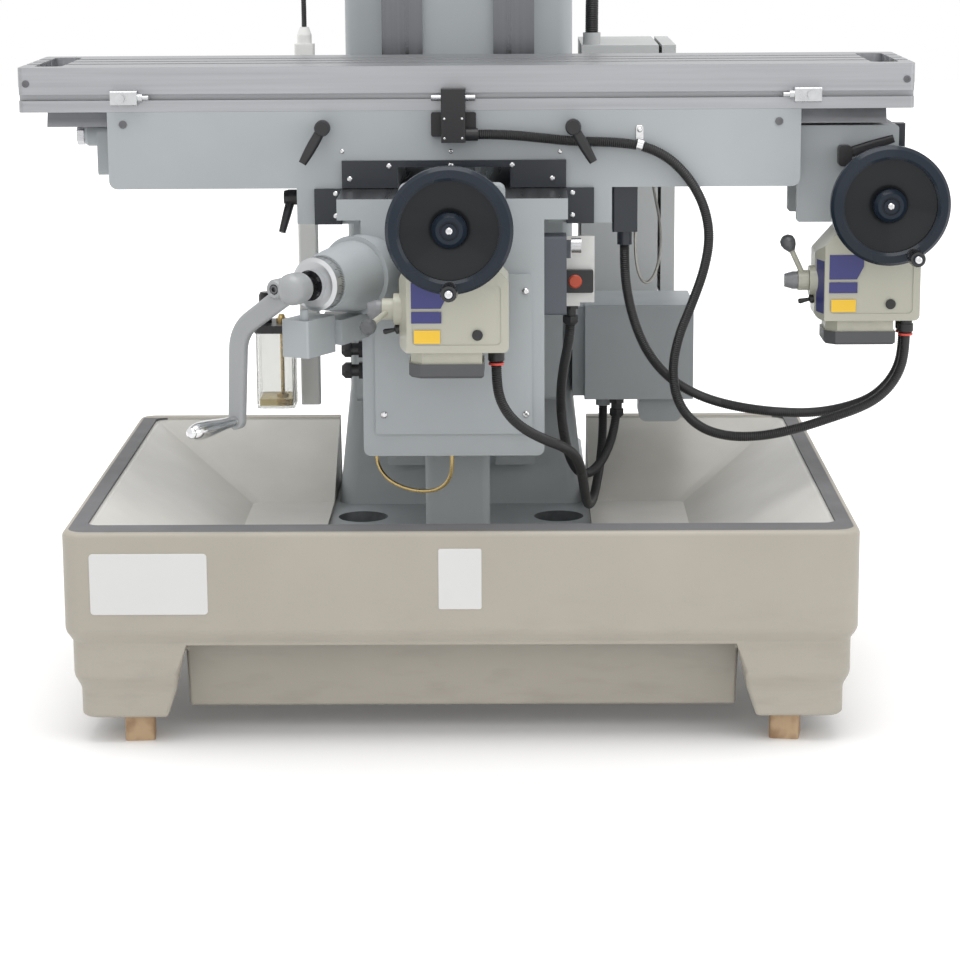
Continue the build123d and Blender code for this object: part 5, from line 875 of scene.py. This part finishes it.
def corrugated(path, radius, sides_from, pitch=0.0034, depth=0.0011, sides=16):
    """A corrugated hose along a path: at arc length s its radius is less than the full one by
    depth * (1 - cos(2 pi s / pitch)) / 2. Each ring lies across the path, and its first point is turned
    towards sides_from."""
    step = np.linalg.norm(np.diff(path, axis=0), axis=1)
    length = np.concatenate([[0], np.cumsum(step)])
    s = np.linspace(0, length[-1], int(length[-1] / pitch) * 4 + 1)
    line = np.stack([np.interp(s, length, path[:, k]) for k in range(3)], -1)
    tangent = np.gradient(line, axis=0)
    tangent /= np.linalg.norm(tangent, axis=1)[:, None]
    towards = np.array(sides_from, float)
    u = towards - (tangent @ towards)[:, None] * tangent
    u /= np.linalg.norm(u, axis=1)[:, None]
    w = np.cross(tangent, u)
    wave = radius - depth * (1 - np.cos(2 * pi * s / pitch)) / 2
    t = np.linspace(0, 2 * pi, sides, endpoint=False)
    ring = np.cos(t)[None, :, None] * u[:, None] + np.sin(t)[None, :, None] * w[:, None]
    rings = line[:, None] + wave[:, None, None] * ring
    ends = [np.repeat(line[k][None, None], sides, axis=1) for k in (0, -1)]
    points = np.concatenate([ends[0], rings, ends[1]])
    return points, grid_faces(len(points), sides), line


hose_black = paint("hose_black", (0.014, 0.014, 0.015), 0.42, cloud=0.2, peel=0.3)
CONDUIT_R, WIDE_CONDUIT_R, SLEEVE_R, CABLE_R, TUBE_R = 0.0085, 0.0125, 0.0050, 0.0026, 0.003
limit_route = [
    (0.040, -0.468, 0.945), (0.082, -0.468, 0.945), (0.140, -0.465, 0.939), (0.200, -0.461, 0.932),
    (0.260, -0.461, 0.931), (0.312, -0.463, 0.925), (0.353, -0.465, 0.906), (0.387, -0.466, 0.872),
    (0.412, -0.464, 0.828), (0.423, -0.460, 0.776), (0.415, -0.456, 0.720), (0.395, -0.453, 0.662),
    (0.372, -0.452, 0.605), (0.362, -0.452, 0.547), (0.372, -0.452, 0.492), (0.405, -0.450, 0.452),
    (0.455, -0.448, 0.434), (0.516, -0.445, 0.434), (0.576, -0.440, 0.446), (0.632, -0.434, 0.463),
    (0.688, -0.427, 0.481), (0.723, -0.421, 0.503), (0.747, -0.415, 0.535), (0.756, -0.413, 0.572),
    (0.756, -0.413, 0.604)]
x_feed_route = [
    (0.283, -0.425, 0.7578), (0.283, -0.425, 0.715), (0.289, -0.426, 0.668), (0.303, -0.428, 0.616),
    (0.326, -0.429, 0.568), (0.362, -0.430, 0.528), (0.410, -0.430, 0.500), (0.468, -0.427, 0.482),
    (0.540, -0.418, 0.470), (0.616, -0.405, 0.466), (0.688, -0.393, 0.481), (0.723, -0.387, 0.503),
    (0.747, -0.383, 0.535), (0.756, -0.381, 0.572), (0.756, -0.381, 0.604)]
y_feed_route = [
    (0.070, -0.710, 0.6076), (0.070, -0.710, 0.577), (0.076, -0.710, 0.545), (0.092, -0.709, 0.518),
    (0.117, -0.703, 0.496), (0.147, -0.688, 0.478), (0.174, -0.659, 0.462), (0.193, -0.612, 0.441),
    (0.205, -0.556, 0.413), (0.212, -0.500, 0.375), (0.217, -0.430, 0.337), (0.222, -0.350, 0.303),
    (0.228, -0.268, 0.277), (0.236, -0.186, 0.264), (0.244, -0.109, 0.266), (0.250, -0.050, 0.277),
    (0.256, -0.015, 0.299), (0.260, 0.009, 0.331), (0.262, 0.018, 0.368), (0.262, 0.018, 0.403)]
head_low, head_long = 1.072, 0.368
head_rises = ((0.246, 0.240, 0.0), (0.246, 0.240, 0.144), (0.249, 0.241, 0.321), (0.252, 0.241, 0.511),
              (0.250, 0.240, 0.701), (0.246, 0.240, 0.859), (0.246, 0.240, 1.0))     # x, y, share of the rise
head_route = [(x, y, head_low + head_long * share) for x, y, share in head_rises]


def hose(name, node, route, radius, length, sides_from, bodies, lay, finish=hose_black, slot="conduit_black",
         **ribs):
    """A corrugated hose, in place of its CAD node if it has one, on one body, or, when it runs between two,
    on none, with its place baked into its points.
    """
    points, faces, line = corrugated(read_line(route), radius, sides_from, **ribs)
    body = bodies[0] if len(bodies) == 1 else None
    piece = add_piece(name, [(points, faces)], finish, body, smooth=60)
    if body is None:
        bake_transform(piece)
    if node:
        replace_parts(piece, node)


hose("limit_hose", "limit_conduit", limit_route, CONDUIT_R, 1.256, BACK, ["saddle"], "hanging")
hose("x_feed_hose", "x_feed_conduit", x_feed_route, CONDUIT_R, 0.742, BACK, ["saddle"], "hanging")
hose("y_feed_hose", "y_feed_conduit", y_feed_route, CONDUIT_R, 1.021, RIGHT, ["frame", "knee"], "hanging")
hose("head_hose", "head_conduit", head_route, WIDE_CONDUIT_R, head_long, RIGHT, ["frame"], "taut")

switch_route = [
    (0.192, -0.462, 0.650), (0.192, -0.462, 0.622), (0.188, -0.452, 0.590), (0.181, -0.434, 0.552),
    (0.177, -0.408, 0.508), (0.178, -0.376, 0.462), (0.184, -0.336, 0.412), (0.195, -0.290, 0.364),
    (0.210, -0.238, 0.330), (0.228, -0.184, 0.314), (0.247, -0.132, 0.316), (0.264, -0.088, 0.332),
    (0.277, -0.056, 0.358), (0.284, -0.040, 0.390), (0.285, -0.036, 0.414)]
scale_route = [
    (-0.2755, -0.010, 1.094), (-0.2755, -0.010, 1.124), (-0.276, -0.009, 1.156), (-0.275, -0.005, 1.188),
    (-0.270, 0.002, 1.218), (-0.261, 0.010, 1.244), (-0.248, 0.018, 1.266), (-0.231, 0.025, 1.282),
    (-0.208, 0.029, 1.291)]
cable_route = [
    (0.3005, -0.425, 0.781), (0.3005, -0.425, 0.756), (0.302, -0.424, 0.730), (0.307, -0.418, 0.706),
    (0.316, -0.407, 0.690), (0.328, -0.391, 0.690), (0.338, -0.375, 0.704), (0.345, -0.360, 0.727),
    (0.348, -0.343, 0.757), (0.346, -0.327, 0.789), (0.340, -0.314, 0.819), (0.336, -0.308, 0.840),
    (0.335, -0.307, 0.857)]
hose("switch_hose", None, switch_route, CONDUIT_R, 0.672, RIGHT, ["frame", "knee"], "hanging")
hose("scale_hose", None, scale_route, SLEEVE_R, 0.229, BACK, ["frame"], "hanging")
armoured_steel = metal("armoured_steel", (0.40, 0.39, 0.36), 0.42)
hose("armoured_cable", None, cable_route, CABLE_R, 0.310, (0.8, -0.6, 0), ["saddle"], "hanging",
     armoured_steel, "dark_steel", pitch=0.0024, depth=0.0006)
add_piece("knee_hose_gland", [screw_gland((0.192, -0.462, 0.6636), DOWN)],
          moulded_black, "knee")
grommet = [(0, 0), (0.010, 0), (0.010, 0.004), (0.008, 0.006), (0, 0.006)]
add_piece("column_hose_glands", [screw_gland((0.285, -0.036, 0.425), DOWN),
                                 turned(grommet, LEFT, (-0.205, 0.029, 1.291))],
          moulded_black, "frame")

oil_route = [
    (-0.134, -0.480, 0.4366), (-0.134, -0.480, 0.414), (-0.130, -0.484, 0.393), (-0.117, -0.495, 0.376),
    (-0.097, -0.511, 0.366), (-0.069, -0.535, 0.362), (-0.041, -0.559, 0.366), (-0.021, -0.575, 0.376),
    (-0.008, -0.586, 0.393), (-0.004, -0.590, 0.414), (-0.004, -0.590, 0.4366)]
oil_pipe = route_line("oil_pipe", oil_route, TUBE_R)
oil_pipe.data.materials.append(pipe_brass)
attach(oil_pipe, "knee")
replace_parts(oil_pipe, "oil_tube")


# Studio: a pale floor that glows more towards the back, white air, wide soft lights overhead, in front and
# on the right, and a long lens set a little above the table, looking slightly down.
floor_half = 14.0
floor_mesh = bpy.data.meshes.new("studio_floor")
floor_mesh.from_pydata([(x * floor_half, y * floor_half, 0) for x, y in ((-1, -1), (1, -1), (1, 1), (-1, 1))],
                       [], [(0, 1, 2, 3)])
floor = set_out("studio_floor", floor_mesh)
floor_pale, tree, shader, place = start_finish("floor_pale", 0.7)
shader.inputs["Base Color"].default_value = (0.90, 0.90, 0.90, 1)
shader.inputs["Emission Color"].default_value = (1.0, 1.0, 1.0, 1)
back = put(tree, "ShaderNodeSeparateXYZ", {"Vector": place}).outputs["Y"]
wear(tree, shader, {"Emission Strength": ramp(tree, back, -0.9, 1.2, 0.0, 0.5)})
floor_mesh.materials.append(floor_pale)

world = bpy.data.worlds.new("studio_air")
world.use_nodes = True
backdrop = world.node_tree.nodes["Background"]
backdrop.inputs["Color"].default_value = (1.0, 1.0, 1.0, 1)
backdrop.inputs["Strength"].default_value = 1.0
bpy.context.scene.world = world
bpy.context.scene.view_settings.view_transform = "Standard"


def soft_light(name, place, target, size, power):
    """A square area light that faces its target."""
    lamp = bpy.data.lights.new(name, "AREA")
    lamp.size = size
    lamp.energy = power
    light = set_out(name, lamp)
    light.location = place
    light.rotation_euler = (Vector(target) - Vector(place)).to_track_quat("-Z", "Y").to_euler()


soft_light("overhead_light", (0.0, -1.2, 4.6), (0, -0.3, 0.6), 3.2, 94)
soft_light("front_light", (-0.2, -6.0, 2.4), (0, -0.2, 0.7), 3.6, 18)
soft_light("right_light", (3.6, -2.4, 1.9), (-0.2, -0.3, 0.3), 2.0, 16)

CAMERA_AT, SENSOR_MM, LENS_MM = Vector((0.099, -5.054, 1.352)), 36.0, 104.5
pitch, yaw, roll = radians(12.14), radians(0.74), radians(-0.38)
ahead = Vector((-sin(yaw) * cos(pitch), cos(yaw) * cos(pitch), -sin(pitch)))
level = Vector((cos(yaw), sin(yaw), 0))
above = level.cross(ahead)
right = cos(roll) * level + sin(roll) * above
upward = -sin(roll) * level + cos(roll) * above
lens = bpy.data.cameras.new("photo_camera")
lens.sensor_width = SENSOR_MM
lens.lens = LENS_MM
camera = set_out("photo_camera", lens)
turn = Matrix((right, upward, -ahead)).transposed().to_4x4()
camera.matrix_world = Matrix.Translation(CAMERA_AT) @ turn
bpy.context.scene.camera = camera
